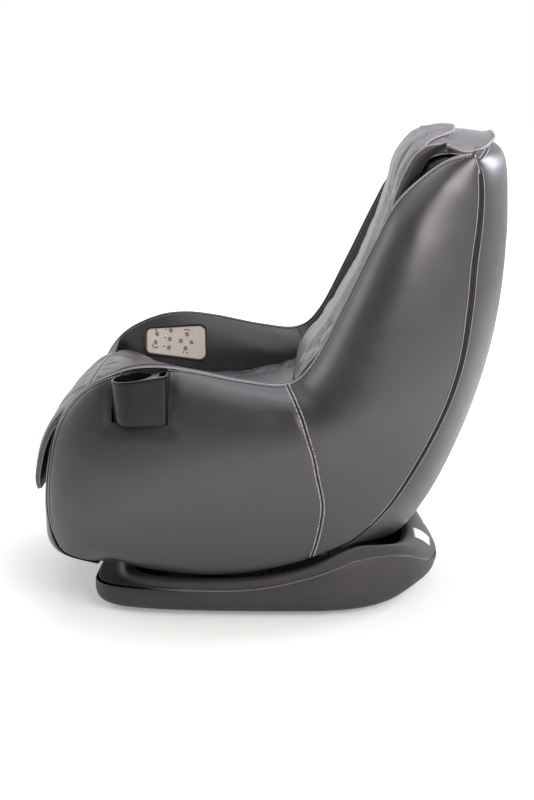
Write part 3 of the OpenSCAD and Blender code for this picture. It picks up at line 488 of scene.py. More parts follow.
# ABS from a polished tool: black with clear, narrow reflections and no grain.
GLOSS = Finish("polished_abs_black", "141316", "101012", 0.2, 0.03, 50, 2.0, 0.004, specular=0.35)
# Satin paint on ABS: pale, even beige with a soft highlight.
PANEL = Finish("painted_panel_beige", "ddd0c7", "d3c7be", 0.42, 0.04, 6, 0.7, 0.02)
# Soft-touch paint on ABS: black with a faint warm cast and a spread highlight.
FRAME_TRIM = Finish("soft_black_trim", "261e22", "1f181c", 0.42, 0.05, 20, 0.8, 0.02)
# Satin-chromed ABS: small bright rings without sharp glints.
CHROME = Finish("chromed_abs_ring", "d9d7d4", "cfccc8", 0.3, 0.03, 20, 1.0, 0.004, metallic=1.0)
# ABS coloured through: mid-grey caps with a soft shine.
CAP = Finish("grey_button_abs", "8d8780", "837d77", 0.35, 0.04, 6, 0.6, 0.015)
# Screen-printed ink: dark, flat dots.
MARK = Finish("printed_dot", "3a332f", "332c29", 0.5, 0.04, 5, 0.5, 0.005)
# Polyester film without print: flat, clean white.
BLANK = Finish("white_polyester_plate", "f2f1ef", "ecebe8", 0.45, 0.04, 20, 0.8, 0.006)
# Powder coat on welded steel: dark grey, satin, with the slight peel of the powder.
STEEL = Brushed("powder_coated_steel", "4c4e52", "44464a", 0.42, 0.05, 60, 0.8, 0.02, metallic=0.6)
# Zinc on rolled steel: bright grey with faint lines along the length.
BRIGHT = Brushed("zinc_plated_steel", "a9adb0", "9a9ea2", 0.34, 0.06, 40, 0.6, 0.02, metallic=1.0)
# Folded aluminium sheet: light grey, dulled by the lines of rolling.
BOX = Brushed("folded_aluminium_box", "9c9ea0", "909294", 0.38, 0.05, 60, 0.7, 0.02, metallic=0.9)
# Nylon filled with glass: near black and dull, with the fibres just under the face.
MOTOR = Finish("glass_filled_nylon", "26262a", "1f1f23", 0.5, 0.05, 30, 0.9, 0.03)
# Moulded rubber: black, with hardly any shine.
RUBBER = Finish("moulded_rubber", "1b1b1d", "151517", 0.72, 0.05, 20, 1.0, 0.03, specular=0.3)
# Open-cell foam: charcoal without gloss. Its cells of about 1 mm are drawn 1.8 mm apart so that
# they show.
FOAM = Finish("charcoal_foam", "2d2b2f", "232226", 0.85, 0.04, 12, 1.8, 0.3, specular=0.15, sheen=0.1)
# Sanded birch plywood, left bare: pale, with long, darker growth bands.
PLYWOOD = Ply("birch_plywood", "c3a373", "a98a5c", 0.6, 0.05, 30, 0.6, 0.04)
# Turned acetal: off-white with a waxy shine.
ACETAL = Finish("white_acetal", "dcd8ce", "d2cdc2", 0.38, 0.04, 30, 1.2, 0.01)
# ABS from a polished tool: a black rocker with a small highlight.
SWITCH = Finish("black_switch_abs", "18181a", "131315", 0.3, 0.04, 10, 0.8, 0.008)


# ---- mesh helpers --------------------------------------------------------------------------------
def piece(name: str, bm: BMesh, finish: Finish, body: str = "chair") -> Object:
    """Turn a bmesh into a smooth piece that rides on a body.

    Args:
        name: Name of the piece.
        bm: Its mesh, in metres; it is freed.
        finish: Its finish.
        body: Body that it rides on.

    Returns:
        The new object.
    """
    mesh = bpy.data.meshes.new(name)
    bm.to_mesh(mesh)
    bm.free()
    made = bpy.data.objects.new(name, mesh)
    bpy.context.scene.collection.objects.link(made)
    mesh.shade_smooth()
    mesh.materials.append(finish.material())
    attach(made, body)
    log.info("piece %s of %s, on body %s", name, finish.name, body)
    return made


def mapped(rows: int, columns: int, place: Place) -> BMesh:
    """A grid whose corners are carried to their places on a surface.

    Args:
        rows: Faces along the first share.
        columns: Faces along the second share.
        place: Gives the place, in metres, of a pair of shares.

    Returns:
        The mesh, open at its edges.
    """
    bm = bmesh.new()
    bmesh.ops.create_grid(bm, x_segments=columns, y_segments=rows, size=0.5)
    for vertex in bm.verts:
        vertex.co = place(round(vertex.co.y + 0.5, 7), round(vertex.co.x + 0.5, 7))
    return bm


def sewn(bm: BMesh) -> BMesh:
    """Weld a mapped grid's meeting edges, close its ends and turn its faces outwards.

    Args:
        bm: The grid, which is changed.

    Returns:
        The same mesh, closed.
    """
    bmesh.ops.remove_doubles(bm, verts=bm.verts, dist=2e-6)
    bmesh.ops.dissolve_degenerate(bm, edges=bm.edges, dist=1e-7)
    open_edges = [e for e in bm.edges if e.is_boundary]
    if open_edges:
        bmesh.ops.holes_fill(bm, edges=open_edges, sides=0)
    bmesh.ops.recalc_face_normals(bm, faces=bm.faces)
    return bm


def finish_with(obj: Object, kind: str, **settings) -> None:
    """Give a piece a modifier with these settings.

    Args:
        obj: The piece.
        kind: Type of the modifier.
        settings: Attributes of the modifier.
    """
    made = obj.modifiers.new(kind.lower(), kind)
    for key, value in settings.items():
        setattr(made, key, value)


def soften(obj: Object, degrees: float) -> None:
    """Round the edges of a piece that are sharper than an angle, by 0.8 mm."""
    angle = math.radians(degrees)
    finish_with(obj, "BEVEL", width=0.8 * MM, segments=3, limit_method="ANGLE", angle_limit=angle)


def apply_modifiers(obj: Object) -> None:
    """Write a piece's modifiers into its mesh.

    Args:
        obj: The piece, whose old mesh is removed.
    """
    graph = bpy.context.evaluated_depsgraph_get()
    mesh = bpy.data.meshes.new_from_object(obj.evaluated_get(graph))
    old = obj.data
    obj.modifiers.clear()
    obj.data = mesh
    bpy.data.meshes.remove(old)


def cut(obj: Object, cutter: BMesh, angle: float = 35) -> None:
    """Cut a closed shape out of a piece.

    Args:
        obj: The piece.
        cutter: The shape to take away, in metres; it is freed.
        angle: Edges sharper than this many degrees are shown sharp.
    """
    mesh = bpy.data.meshes.new("cutter")
    cutter.to_mesh(mesh)
    cutter.free()
    tool = bpy.data.objects.new("cutter", mesh)
    bpy.context.scene.collection.objects.link(tool)
    finish_with(obj, "BOOLEAN", operation="DIFFERENCE", solver="EXACT", object=tool)
    apply_modifiers(obj)
    bpy.data.objects.remove(tool)
    obj.data.shade_smooth()
    obj.data.set_sharp_from_angle(angle=math.radians(angle))


def prism(outline: Sequence[Vector], low: float, high: float, turn: Matrix | None = None) -> BMesh:
    """A flat outline extruded upwards.

    Args:
        outline: Corners in order, in metres.
        low: Height of the lower face, in metres.
        high: Height of the upper face, in metres.
        turn: Placement of the finished prism.

    Returns:
        The closed prism.
    """
    bm = bmesh.new()
    corners = [bm.verts.new((p[0], p[1], low)) for p in outline]
    face = bm.faces.new(corners)
    grown = bmesh.ops.extrude_face_region(bm, geom=[face])
    upper = [v for v in grown["geom"] if isinstance(v, bmesh.types.BMVert)]
    bmesh.ops.translate(bm, verts=upper, vec=(0, 0, high - low))
    bmesh.ops.recalc_face_normals(bm, faces=bm.faces)
    if turn is not None:
        bmesh.ops.transform(bm, matrix=turn, verts=bm.verts)
    return bm


class Skin:
    """Finds places on a finished piece, so that seams and trims lie on it."""

    def __init__(self, *objs: Object) -> None:
        """Read the finished meshes of the pieces.

        Args:
            objs: Pieces that make one surface.
        """
        graph = bpy.context.evaluated_depsgraph_get()
        bm = bmesh.new()
        for obj in objs:
            bm.from_mesh(obj.evaluated_get(graph).to_mesh())
        self.tree = BVHTree.FromBMesh(bm)
        bm.free()

    def near(self, point: Vector, lift: float = 0.0) -> tuple[Vector, Vector]:
        """Nearest place to a point, lifted in millimetres, and its normal.

        Args:
            point: A place in metres.
            lift: Height off the surface in millimetres.

        Returns:
            The place on the surface and its normal.
        """
        where, normal, _, _ = self.tree.find_nearest(point)
        return where + normal * lift * MM, normal

    def seen(self, start: Vector, way: Vector, lift: float = 0.0) -> tuple[Vector, Vector] | None:
        """First place met from a start along a way, lifted in millimetres, and its normal.

        Args:
            start: Where the way starts, in metres.
            way: Its direction.
            lift: Height off the surface in millimetres.

        Returns:
            The place and its normal, or None where nothing is met.
        """
        where, normal, _, _ = self.tree.ray_cast(start, way)
        if where is None:
            return None
        return where + normal * lift * MM, normal

    def hits(self, starts: Iterable[Vector], way: Vector) -> list[tuple[Vector, Vector]]:
        """The places met from many starts along one way, a little lifted, without the misses.

        Args:
            starts: Where the ways start, in metres.
            way: Their direction.

        Returns:
            The places and normals that were met.
        """
        return [found for start in starts if (found := self.seen(start, way, 0.2))]


@dataclass(frozen=True)
class SeamWork:
    """Lays cords and stitches along a path of places and normals."""

    stitch_len: float = 4.6
    stitch_pitch: float = 6.0
    stitch_r: float = 1.0
    cord_sides: int = 10

    def cord(self, name: str, path: Sequence[Vector], radius: float, finish: Finish, loop: bool = False,
             body: str = "chair") -> Object:
        """A round cord along a path.

        Args:
            name: Name of the piece.
            path: Places in metres.
            radius: Radius in millimetres.
            finish: Its finish.
            loop: Whether it joins its own start.
            body: Body that it rides on.

        Returns:
            The cord as a mesh piece.
        """
        count = len(path)
        up = Vector((0.31, 0.17, 0.93)).normalized()
        frames = []
        for i, p in enumerate(path):
            before = path[(i - 1) % count] if loop or i else p
            after = path[(i + 1) % count] if loop or i < count - 1 else p
            way = (after - before).normalized()
            up = (up - way * up.dot(way)).normalized()
            frames.append((p, up.copy(), way.cross(up)))
        if loop:
            first = frames[0][1]
            last = frames[-1]
            twist = math.atan2(first.dot(last[2]), first.dot(last[1]))
            frames = [
                (p, u * math.cos(twist * i / count) + w * math.sin(twist * i / count),
                 w * math.cos(twist * i / count) - u * math.sin(twist * i / count))
                for i, (p, u, w) in enumerate(frames)
            ]

        def place(row: float, around: float) -> Vector:
            """Place on the round of the cord.

            Args:
                row: Share along the cord.
                around: Share round it.

            Returns:
                The place in metres.
            """
            i = round(row * (count if loop else count - 1)) % count
            p, u, w = frames[i]
            a = math.tau * (around % 1.0)
            return p + (u * math.cos(a) + w * math.sin(a)) * radius * MM

        return piece(name, sewn(mapped(count if loop else count - 1, self.cord_sides, place)), finish, body)

    def seam(self, name: str, path: Sequence[tuple[Vector, Vector]], radius: float, finish: Finish) -> Object:
        """A cord along a path of places and normals.

        Args:
            name: Name of the piece.
            path: Places and surface normals.
            radius: Radius in millimetres.
            finish: Its finish.

        Returns:
            The cord.
        """
        return self.cord(name, [p for p, _ in path], radius, finish)

    def beside(self, path: Sequence[tuple[Vector, Vector]], aside: float, lift: float = 0.0) -> list:
        """A path moved aside along the surface and lifted off it, in millimetres.

        Args:
            path: Places and surface normals.
            aside: Distance along the surface.
            lift: Distance off the surface.

        Returns:
            The moved places with the same normals.
        """
        moved = []
        for i, (p, n) in enumerate(path):
            way = (path[min(i + 1, len(path) - 1)][0] - path[max(i - 1, 0)][0]).normalized()
            moved.append((p + n.cross(way).normalized() * aside * MM + n * lift * MM, n))
        return moved

    def stitches(self, name: str, path: Sequence[tuple[Vector, Vector]], finish: Finish,
                 aside: float = 0.0, body: str = "chair") -> Object:
        """A row of stitches along a path, moved aside by some millimetres on the surface.

        Args:
            name: Name of the piece.
            path: Places and surface normals.
            finish: Finish of the thread.
            aside: Distance from the path on the surface.
            body: Body that it rides on.

        Returns:
            All the stitches as one piece.
        """
        bm = bmesh.new()
        due = 0.5 * self.stitch_pitch * MM
        for (p, n), (q, _) in zip(path, path[1:]):
            step = (q - p).length
            while step > 1e-9 and due <= step:
                way = (q - p).normalized()
                side = n.cross(way).normalized()
                centre = p + way * due + side * aside * MM
                turn = Matrix((way, side, way.cross(side))).transposed().to_4x4()
                size = Matrix.Diagonal((self.stitch_len / 2 * MM, self.stitch_r * MM, self.stitch_r * MM, 1))
                bmesh.ops.create_icosphere(
                    bm, subdivisions=1, radius=1, matrix=Matrix.Translation(centre) @ turn @ size
                )
                due += self.stitch_pitch * MM
            due -= step
        return piece(name, bm, finish, body)


SEWING = SeamWork()


# ---- the chair's outline -------------------------------------------------------------------------
@dataclass
class ChairForm:
    """Outline shared by the upholstered pieces, as lines of the Y-Z plane."""

    chair_w: float = 730.0
    back_h: float = 976.0
    wing_h: float = 937.0
    arm_h: float = 523.0
    arm_low_h: float = 491.0
    wall_x: float = 236.0
    crest_x: float = 285.0
    top_x: float = 253.0
    belly_gap: float = 96.0
    rock_r: float = 597.0
    crest_band: float = 14.0
    arm_slope: float = 112.0
    seam_out: float = 3.0
    rock_c: Vector = field(default_factory=lambda: Vector((-126.0, 693.0)))
    track_c: Vector = field(default_factory=lambda: Vector((-722.032, 1114.977)))

    def __post_init__(self) -> None:
        """Work out the lines."""
        wing, arm, low = self.wing, self.arm, self.low
        seam = [(-363, self.arm_h - 51), (-410, self.arm_h - 118), (-432, low(204)), (-433, low(112)),
                (-410, low(46)), (-339, low(22))]
        self.front_seam = Line(seam)
        self.crest = Line([
            (393, self.wing_h), (333, self.wing_h - 19), (256, wing(0.808)), (214, wing(0.642)),
            (156, wing(0.368)), (96, wing(0.103)), (43, wing(0.002)), (-44, arm(0.19)),
            (-150, arm(0.81)), (-225, self.arm_h), (-291, self.arm_h - 12), *seam[:5],
        ])
        zips = [
            (402, self.wing_h - 25), (406, wing(0.83)), (404, wing(0.697)), (396, wing(0.53)),
            (391, wing(0.354)), (378, wing(0.12)), (350, low(352)), (302, low(248)), (245, low(151)),
            (184, low(85)),
        ]
        under = [polar(self.rock_c, self.rock_r + 3, a) for a in (25, 18, 9, 0, -10.5, -16)]
        self.under = Line([*zips, *under, seam[5]])
        back = [
            (447, self.wing_h + 7), (474, wing(0.95)), (482, wing(0.74)), (482, wing(0.563)),
            (475, wing(0.336)), (458, wing(0.103)), (430, low(336)), (392, low(229)), (341, low(116)),
            (286, low(36)),
        ]
        self.back_edge = Line([(396, self.wing_h - 9), *zips, (152, low(62))])
        self.back_middle = Line([(404, self.wing_h + 14), *back, (236, low(40))])
        self.front_middle = Line([
            (-372, self.arm_h - 98), (-428, self.arm_h - 158), (-455, low(210)), (-468, low(112)),
            (-462, low(28)), (-335, low(6)),
        ])
        self.bulge_share = scale_line([0.05, 0.42, 0.66, 0.84, 0.96, 1, 1, 0.97, 0.88, 0.62, 0.2])

    def wing(self, t: float) -> float:
        """Height at a share of the wing's rise."""
        return lerp(self.arm_low_h, self.wing_h, t)

    def arm(self, t: float) -> float:
        """Height at a share of the arm's rise."""
        return lerp(self.arm_low_h, self.arm_h, t)

    def low(self, z: float) -> float:
        """Height of a place measured up from the belly."""
        return self.belly_gap + z

    def crest_half(self, t: float) -> float:
        """Half distance between the two crests at the share t.

        Args:
            t: Share down the rows, 0 to 1.

        Returns:
            Half the distance, in millimetres.
        """
        if t < 0.4:
            return lerp(self.top_x, self.crest_x, ease(t / 0.4))
        return lerp(self.crest_x, self.crest_x + 13, ease(clamp((t - 0.64) / 0.32, 0, 1)))

    def seam_half(self, t: float) -> float:
        """Half distance between the two lower seams at the share t.

        Args:
            t: Share down the rows, 0 to 1.

        Returns:
            Half the distance, in millimetres.
        """
        if t < 0.4:
            return lerp(self.top_x + 4, self.crest_x + self.seam_out, ease(t / 0.4))
        return self.crest_x + self.seam_out

    def bulge(self, t: float) -> float:
        """How far a side swells out between its seams."""
        return (self.chair_w / 2 - self.crest_x - self.seam_out / 2) * self.bulge_share(t)


FORM = ChairForm()


# ---- upholstered sides ---------------------------------------------------------------------------
@dataclass
class SidePanels:
    """The two upholstered sides with their crests, seams and stitching."""

    rows: int = 260
    outer: int = 88
    bottom: int = 4
    inner: int = 20
    crest: int = 8
    seam_path: tuple[tuple[float, float], ...] = (
        (43, 492), (58.5, 472), (75, 439.5), (87, 402), (98.7, 361), (106, 318), (112.6, 285),
        (115.6, 255), (112.8, 223), (107, 189), (99, 154), (88, 118),
    )
    groove_depth: float = 3.4
    groove_w: float = 6.5
    welt_w: float = 8.5

    def __post_init__(self) -> None:
        """Sample the side seam finely."""
        self.seam_points = along(120, Line(self.seam_path).at)

    def seam_distance(self, y: float, z: float) -> float:
        """Distance of a place of the Y-Z plane from the side seam."""
        here = Vector((y, z))
        return min((here - p).length for p in self.seam_points)

    def outer_point(self, t: float, s: float) -> Vector:
        """Place on the outer skin at the row t and the share s from crest to seam.

        Args:
            t: Share down the rows, 0 to 1.
            s: Share from the crest to the lower seam.

        Returns:
            The place on the left side, in millimetres.
        """
        a, b = FORM.crest.at(t), FORM.under.at(t)
        lean = lerp(0.7, 0.88, ease(clamp((t - 0.28) / 0.17, 0, 1)))
        swell = math.sin(math.pi * s**lean) ** 0.8 if 0 < s < 1 else 0.0
        x = lerp(FORM.crest_half(t), FORM.seam_half(t), s) + FORM.bulge(t) * swell
        p = a.lerp(b, s)
        if s < 0.12:
            off = math.hypot(x - FORM.crest_half(t), (p - a).length)
            x -= 1.1 * hump(off - self.welt_w, 1.7) * min(1, off / 3)
        if 20 < p.x < 150 and 0 < s < 1:
            x -= self.groove_depth * hump(self.seam_distance(p.x, p.y), self.groove_w)
        return Vector((x, p.x, p.y))

    def welt_point(self, t: float) -> Vector:
        """Place of the outer crest seam, a welt's width below the crest.

        Args:
            t: Share down the rows, 0 to 1.

        Returns:
            The place on the left side, in millimetres.
        """
        start = self.outer_point(t, 0.0)
        low, high = 0.0, 0.2
        for _ in range(18):
            s = (low + high) / 2
            if (self.outer_point(t, s) - start).length < self.welt_w:
                low = s
            else:
                high = s
        return self.outer_point(t, low)

    def inner_point(self, t: float, s: float) -> Vector:
        """Place on the inner slope and wall.

        Args:
            t: Share down the rows, 0 to 1.
            s: Share from the crest to the lower seam.

        Returns:
            The place on the left side, in millimetres.
        """
        a, b = FORM.crest.at(t), FORM.under.at(t)
        down = min(s * max((b - a).length / FORM.arm_slope, 1), 1)
        soft = 3.0 * math.sin(math.pi * down) if down < 1 else 0.0
        p = a.lerp(b, s)
        return Vector((lerp(FORM.crest_half(t) - FORM.crest_band, FORM.wall_x, down) - soft, p.x, p.y))

    def crest_point(self, t: float, k: float) -> Vector:
        """Place on the narrow band over the crest, k from its inner to its outer seam.

        Args:
            t: Share down the rows, 0 to 1.
            k: Share across the band, from inside to outside.

        Returns:
            The place on the left side, in millimetres.
        """
        a = FORM.crest.at(t)
        way = left_of(FORM.crest.heading(t))
        rise = 2.6 * math.sin(math.pi * k) ** 0.7
        half = FORM.crest_half(t)
        p = a - way * rise
        return Vector((lerp(half - FORM.crest_band, half, k), p.x, p.y))

    @property
    def count(self) -> int:
        """Faces round the whole section."""
        return self.outer + self.bottom + self.inner + self.crest

    def place(self, side: Side) -> Place:
        """Carries a pair of shares round the whole section of a side.

        Args:
            side: The side to make.

        Returns:
            Function of the share down the rows and of the share round the section.
        """

        def carried(row: float, around: float) -> Vector:
            """Place of one pair of shares: outer skin, foot, inner slope and crest in turn.

            Args:
                row: Share down the rows.
                around: Share round the section.

            Returns:
                The place in metres.
            """
            t = lerp(0.004, 0.996, row)
            k = (around * self.count) % self.count
            if k <= self.outer:
                s = (1 - math.cos(math.pi * k / self.outer)) / 2
                p = self.outer_point(t, 0.35 * s + 0.65 * (k / self.outer) ** 1.5)
            elif k <= self.outer + self.bottom:
                p = self.outer_point(t, 1.0).lerp(self.inner_point(t, 1.0), (k - self.outer) / self.bottom)
            elif k <= self.outer + self.bottom + self.inner:
                s = 1 - (k - self.outer - self.bottom) / self.inner
                p = self.inner_point(t, s * s)
            else:
                p = self.crest_point(t, (k - self.count + self.crest) / self.crest)
            return side.carry(p)

        return carried

    def cup_dip(self, obj: Object, cup: "CupHolder") -> None:
        """Draw the leather in round the cup holder, as where it is stapled behind it.

        Args:
            obj: The left side.
            cup: The cup holder that it is drawn in round.
        """
        for vertex in obj.data.vertices:
            x, y, z = vertex.co / MM
            if x < 262 or z < 395:
                continue
            d = cup.distance(x, y)
            foot = cup.foot - z
            if d < 60 and foot < 50:
                near = math.hypot(max(d, 0), max(foot, 0))
                vertex.co.x -= 7.0 * hump(near, 17) * MM

    def build(self, cup: "CupHolder", panel: "ControlPanel") -> dict[Side, Object]:
        """Make both sides, cut the places of the cup holder and the panel, and sew them.

        Args:
            cup: The cup holder, let into the left side.
            panel: The control panel, let into the right side.

        Returns:
            The two pieces by side.
        """
        sides = {}
        for side in Side:
            name = f"side_cover_{side.word}"
            obj = sides[side] = piece(name, sewn(mapped(self.rows, self.count, self.place(side))), SHELL)
            if side is Side.LEFT:
                self.cup_dip(obj, cup)
                cut(obj, cup.pocket())
            else:
                cut(obj, panel.pocket())
            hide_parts(f"side_panel_{side.word}")
            self.sew(side, Skin(obj))
        return sides

    def sew(self, side: Side, skin: Skin) -> None:
        """Lay the piping, the crest seams and the double seams of one side.

        Args:
            side: The side.
            skin: Its finished surface.
        """
        sign, word = side.value, side.word
        rows = along(240, lambda i: lerp(0.006, 0.99, i))
        SEWING.cord(f"crest_piping_{word}", [side.carry(self.crest_point(t, 1.0)) for t in rows], 1.7, EDGING_HIGHLIGHT)
        welt = along(240, lambda i: skin.near(side.carry(self.welt_point(lerp(0.012, 0.94, i))), 0.1))
        SEWING.seam(f"welt_seam_{word}", welt, 0.7, SEAM_SHADE)
        SEWING.stitches(f"welt_stitches_{word}", welt, THREAD, aside=-2.2 * sign)
        inner = [skin.near(side.carry(self.crest_point(t, 0.0)), 0.1) for t in rows]
        SEWING.seam(f"crest_seam_{word}", inner, 0.9, SEAM_SHADE)
        SEWING.stitches(f"crest_stitches_{word}", inner, THREAD, aside=-3.0 * sign)
        outer = skin.hits([at(1000 * sign, p) for p in self.seam_points], Vector((-sign, 0, 0)))
        SEWING.seam(f"side_seam_{word}", outer, 1.0, SEAM_SHADE)
        for aside, name in ((-3.6, "front"), (3.6, "rear")):
            # Light cords beside the seam: painted highlights on the leather raised either side of it.
            fell = SEWING.beside(outer, aside * sign, -0.5)
            SEWING.seam(f"side_fell_{word}_{name}", fell, 1.5, EDGING_HIGHLIGHT)
            raised = SEWING.beside(outer, aside * sign * 1.1, 1.0)
            SEWING.stitches(f"side_stitches_{word}_{name}", raised, THREAD)
        slope = Line([(45.3, 490.5), (59.8, 470.2), (76.5, 451.7), (93, 436.5), (110, 420)])
        found = skin.hits(along(40, lambda i: at(0, slope.at(i))), Vector((sign, 0, 0)))
        SEWING.seam(f"slope_seam_{word}", found, 0.9, SEAM_SHADE)
        for aside, name in ((-4.0, "a"), (4.0, "b")):
            SEWING.stitches(f"slope_stitches_{word}_{name}", found, PLUM_THREAD, aside)


@dataclass
class BowedSkins:
    """The back cover and the front panel: skins bowed between the two side seams."""

    skin_t: float = 13.0
    across: int = 72
    inside: int = 24

    def share(self, s: float) -> float:
        """Share round the section of a place s, from -1 to 1 over its outer side."""
        return math.acos(-s) / math.pi * self.across / (self.across + self.inside)

    def section(self, edge: Vector, middle: Vector, inward: Vector, half: float, lip: float, square: float,
                around: float) -> Vector:
        """Place on the closed section of a skin.

        Args:
            edge: Place of its seams.
            middle: Its middle point.
            inward: Direction to its inner side.
            half: Half its width.
            lip: Width of its sewn edge.
            square: Power of its rise from the seams.
            around: Share round the section, the outer side first.

        Returns:
            The place, in millimetres.
        """
        count = self.across + self.inside
        k = (around * count) % count
        outside = k <= self.across
        share = k / self.across if outside else 1 - (k - self.across) / self.inside
        s = -math.cos(math.pi * clamp(share, 0, 1))
        bow = max(1 - abs(s) ** 2.5, 0) ** square
        if outside:
            p = (edge - 3.8 * inward).lerp(middle, bow)
            return Vector((s * half, p.x, p.y))
        p = (edge - 2.4 * inward).lerp(middle, bow) + self.skin_t * bow**2 * inward
        return Vector((s * (half - lip), p.x, p.y))

    def back_point(self, t: float, around: float) -> Vector:
        """Place on the back cover, in millimetres.

        Args:
            t: Share down the rows, 0 to 1.
            around: Share round the section.

        Returns:
            The place.
        """
        u = max(t * (len(FORM.back_edge.points) - 1) - 1, 0) / (len(FORM.under.points) - 1)
        inward = -left_of(FORM.back_middle.heading(t))
        square = lerp(0.7, 1.1, ease(clamp(5 * t - 3.6, 0, 1)))
        return self.section(FORM.back_edge.at(t), FORM.back_middle.at(t), inward, FORM.seam_half(u) - 1, 11,
                            square, around)

    def front_point(self, row: float, around: float) -> Vector:
        """Place on the front panel, in millimetres.

        Args:
            row: Share down the rows, 0 to 1.
            around: Share round the section.

        Returns:
            The place.
        """
        t = lerp(0.03, 1, row)
        turned = left_of(FORM.front_middle.heading(t))
        inward = Vector((1, 0)).lerp(turned, clamp(3 * t - 0.7, 0, 1)).normalized()
        half = lerp(FORM.crest_x - 24, FORM.crest_x + 11, ease(min(3.6 * t, 1)))
        return self.section(FORM.front_seam.at(t), FORM.front_middle.at(t), inward, half, 3, 0.7, around)

    def build(self) -> dict[str, Object]:
        """Make both skins and sew the seams of the back cover.

        Returns:
            The two pieces by the solid that each replaces.
        """
        made = {}
        for name, node, rows, point in (
            ("back_leather", "back_cover", 150, self.back_point),
            ("front_leather", "front_panel", 70, self.front_point),
        ):
            bm = sewn(mapped(rows, self.across + self.inside, lambda r, a, point=point: point(r, a) * MM))
            obj = made[node] = piece(name, bm, SHELL)
            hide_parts(node)
        self.sew_back(Skin(made["back_cover"]))
        return made

    def sew_back(self, skin: Skin) -> None:
        """Lay the top seam of the back cover and the short seams at its two corners.

        Args:
            skin: The finished surface of the back cover.
        """
        shares = along(80, lambda i: self.share(0.985 * math.sin(math.pi * (i - 0.5))))
        top = [skin.near(self.back_point(0.066, share) * MM, 0.15) for share in shares]
        SEWING.seam("back_top_seam", top, 0.9, SEAM_SHADE)
        for aside, name in ((3.2, "a"), (-3.2, "b")):
            # Light cords beside the top seam: painted highlights on the raised leather.
            SEWING.seam(f"back_top_fell_{name}", SEWING.beside(top, aside, -0.4), 1.3, EDGING_HIGHLIGHT)
            SEWING.stitches(f"back_top_stitches_{name}", SEWING.beside(top, aside, 0.9), THREAD)
        # The short corner seams are light cords in the edging finish: a painted highlight along each.
        corner = Line([(394, 936), (397, 927), (402, 913), (405, 900)])
        for side in Side:
            path = along(20, lambda i: at(side.value * lerp(254, 259, i), corner.at(i)))
            SEWING.cord(f"corner_seam_{side.word}", path, 1.3, EDGING_HIGHLIGHT)


@dataclass
class Zips:
    """The two long zips between the back cover and the sides."""

    start: float = 0.12
    reach: float = 8.6
    steps: int = 130

    def edges(self, u: float, wide: float, sides: SidePanels, skins: BowedSkins) -> tuple[Vector, Vector]:
        """Places of the tape's two edges, in millimetres, at u points down the seam.

        Args:
            u: Points down the seam.
            wide: Share of the tape's full width.
            sides: The upholstered sides.
            skins: The back cover.

        Returns:
            The place on the side and the place on the back cover.
        """
        t = u / (len(FORM.under.points) - 1)
        span = (FORM.under.at(t) - FORM.crest.at(t)).length
        a = sides.outer_point(t, 1 - 3.2 * wide / max(span, 40))
        row = (u + 1) / (len(FORM.back_edge.points) - 1)
        return a, skins.back_point(row, skins.share(1 - 3.4 * wide / FORM.seam_half(t)))

    def build(self, sides: SidePanels, skins: BowedSkins, meshes: dict) -> None:
        """Lay the tapes, their stitched edges and the teeth of both zips.

        Args:
            sides: The upholstered sides.
            skins: The back cover.
            meshes: Their finished pieces.
        """
        back_skin = Skin(meshes["back_cover"])
        for side in Side:
            sign, word = side.value, side.word
            side_skin = Skin(meshes[side])
            near, far = [], []
            for i in range(self.steps + 1):
                u = lerp(self.start, self.reach, i / self.steps)
                wide = (1 if i > 3 else (i + 1) / 5) * lerp(1, 0.45, clamp((u - 4) / 3, 0, 1))
                a, b = self.edges(u, wide, sides, skins)
                near.append(side_skin.near(side.carry(a), 0.5)[0])
                far.append(back_skin.near(side.carry(b), 0.5)[0])

            def place(row: float, across: float) -> Vector:
                """Place on the tape, bowed out a little.

                Args:
                    row: Share along the tape.
                    across: Share from the side's edge to the back's.

                Returns:
                    The place in metres.
                """
                i = round(row * self.steps)
                lift = Vector((sign * 0.9, 0.9, 0)) * MM * math.sin(math.pi * across)
                return near[i].lerp(far[i], across) + lift

            bm = mapped(self.steps, 6, place)
            bmesh.ops.solidify(bm, geom=bm.faces, thickness=0.0006)
            bmesh.ops.recalc_face_normals(bm, faces=bm.faces)
            piece(f"zip_tape_{word}", bm, TAPE)
            SEWING.cord(f"zip_edge_side_{word}", near, 1.0, EDGING_HIGHLIGHT)
            SEWING.cord(f"zip_edge_back_{word}", far, 0.8, EDGING_HIGHLIGHT)
            raised, normal = Vector((sign * 0.0016, 0.0012, 0)), Vector((sign * 0.7, 0.7, 0))
            teeth = [((a + b) / 2 + raised, normal) for a, b in zip(near, far)]
            SeamWork(1.6, 2.9, 1.0).stitches(f"zip_teeth_{word}", teeth, SWITCH)


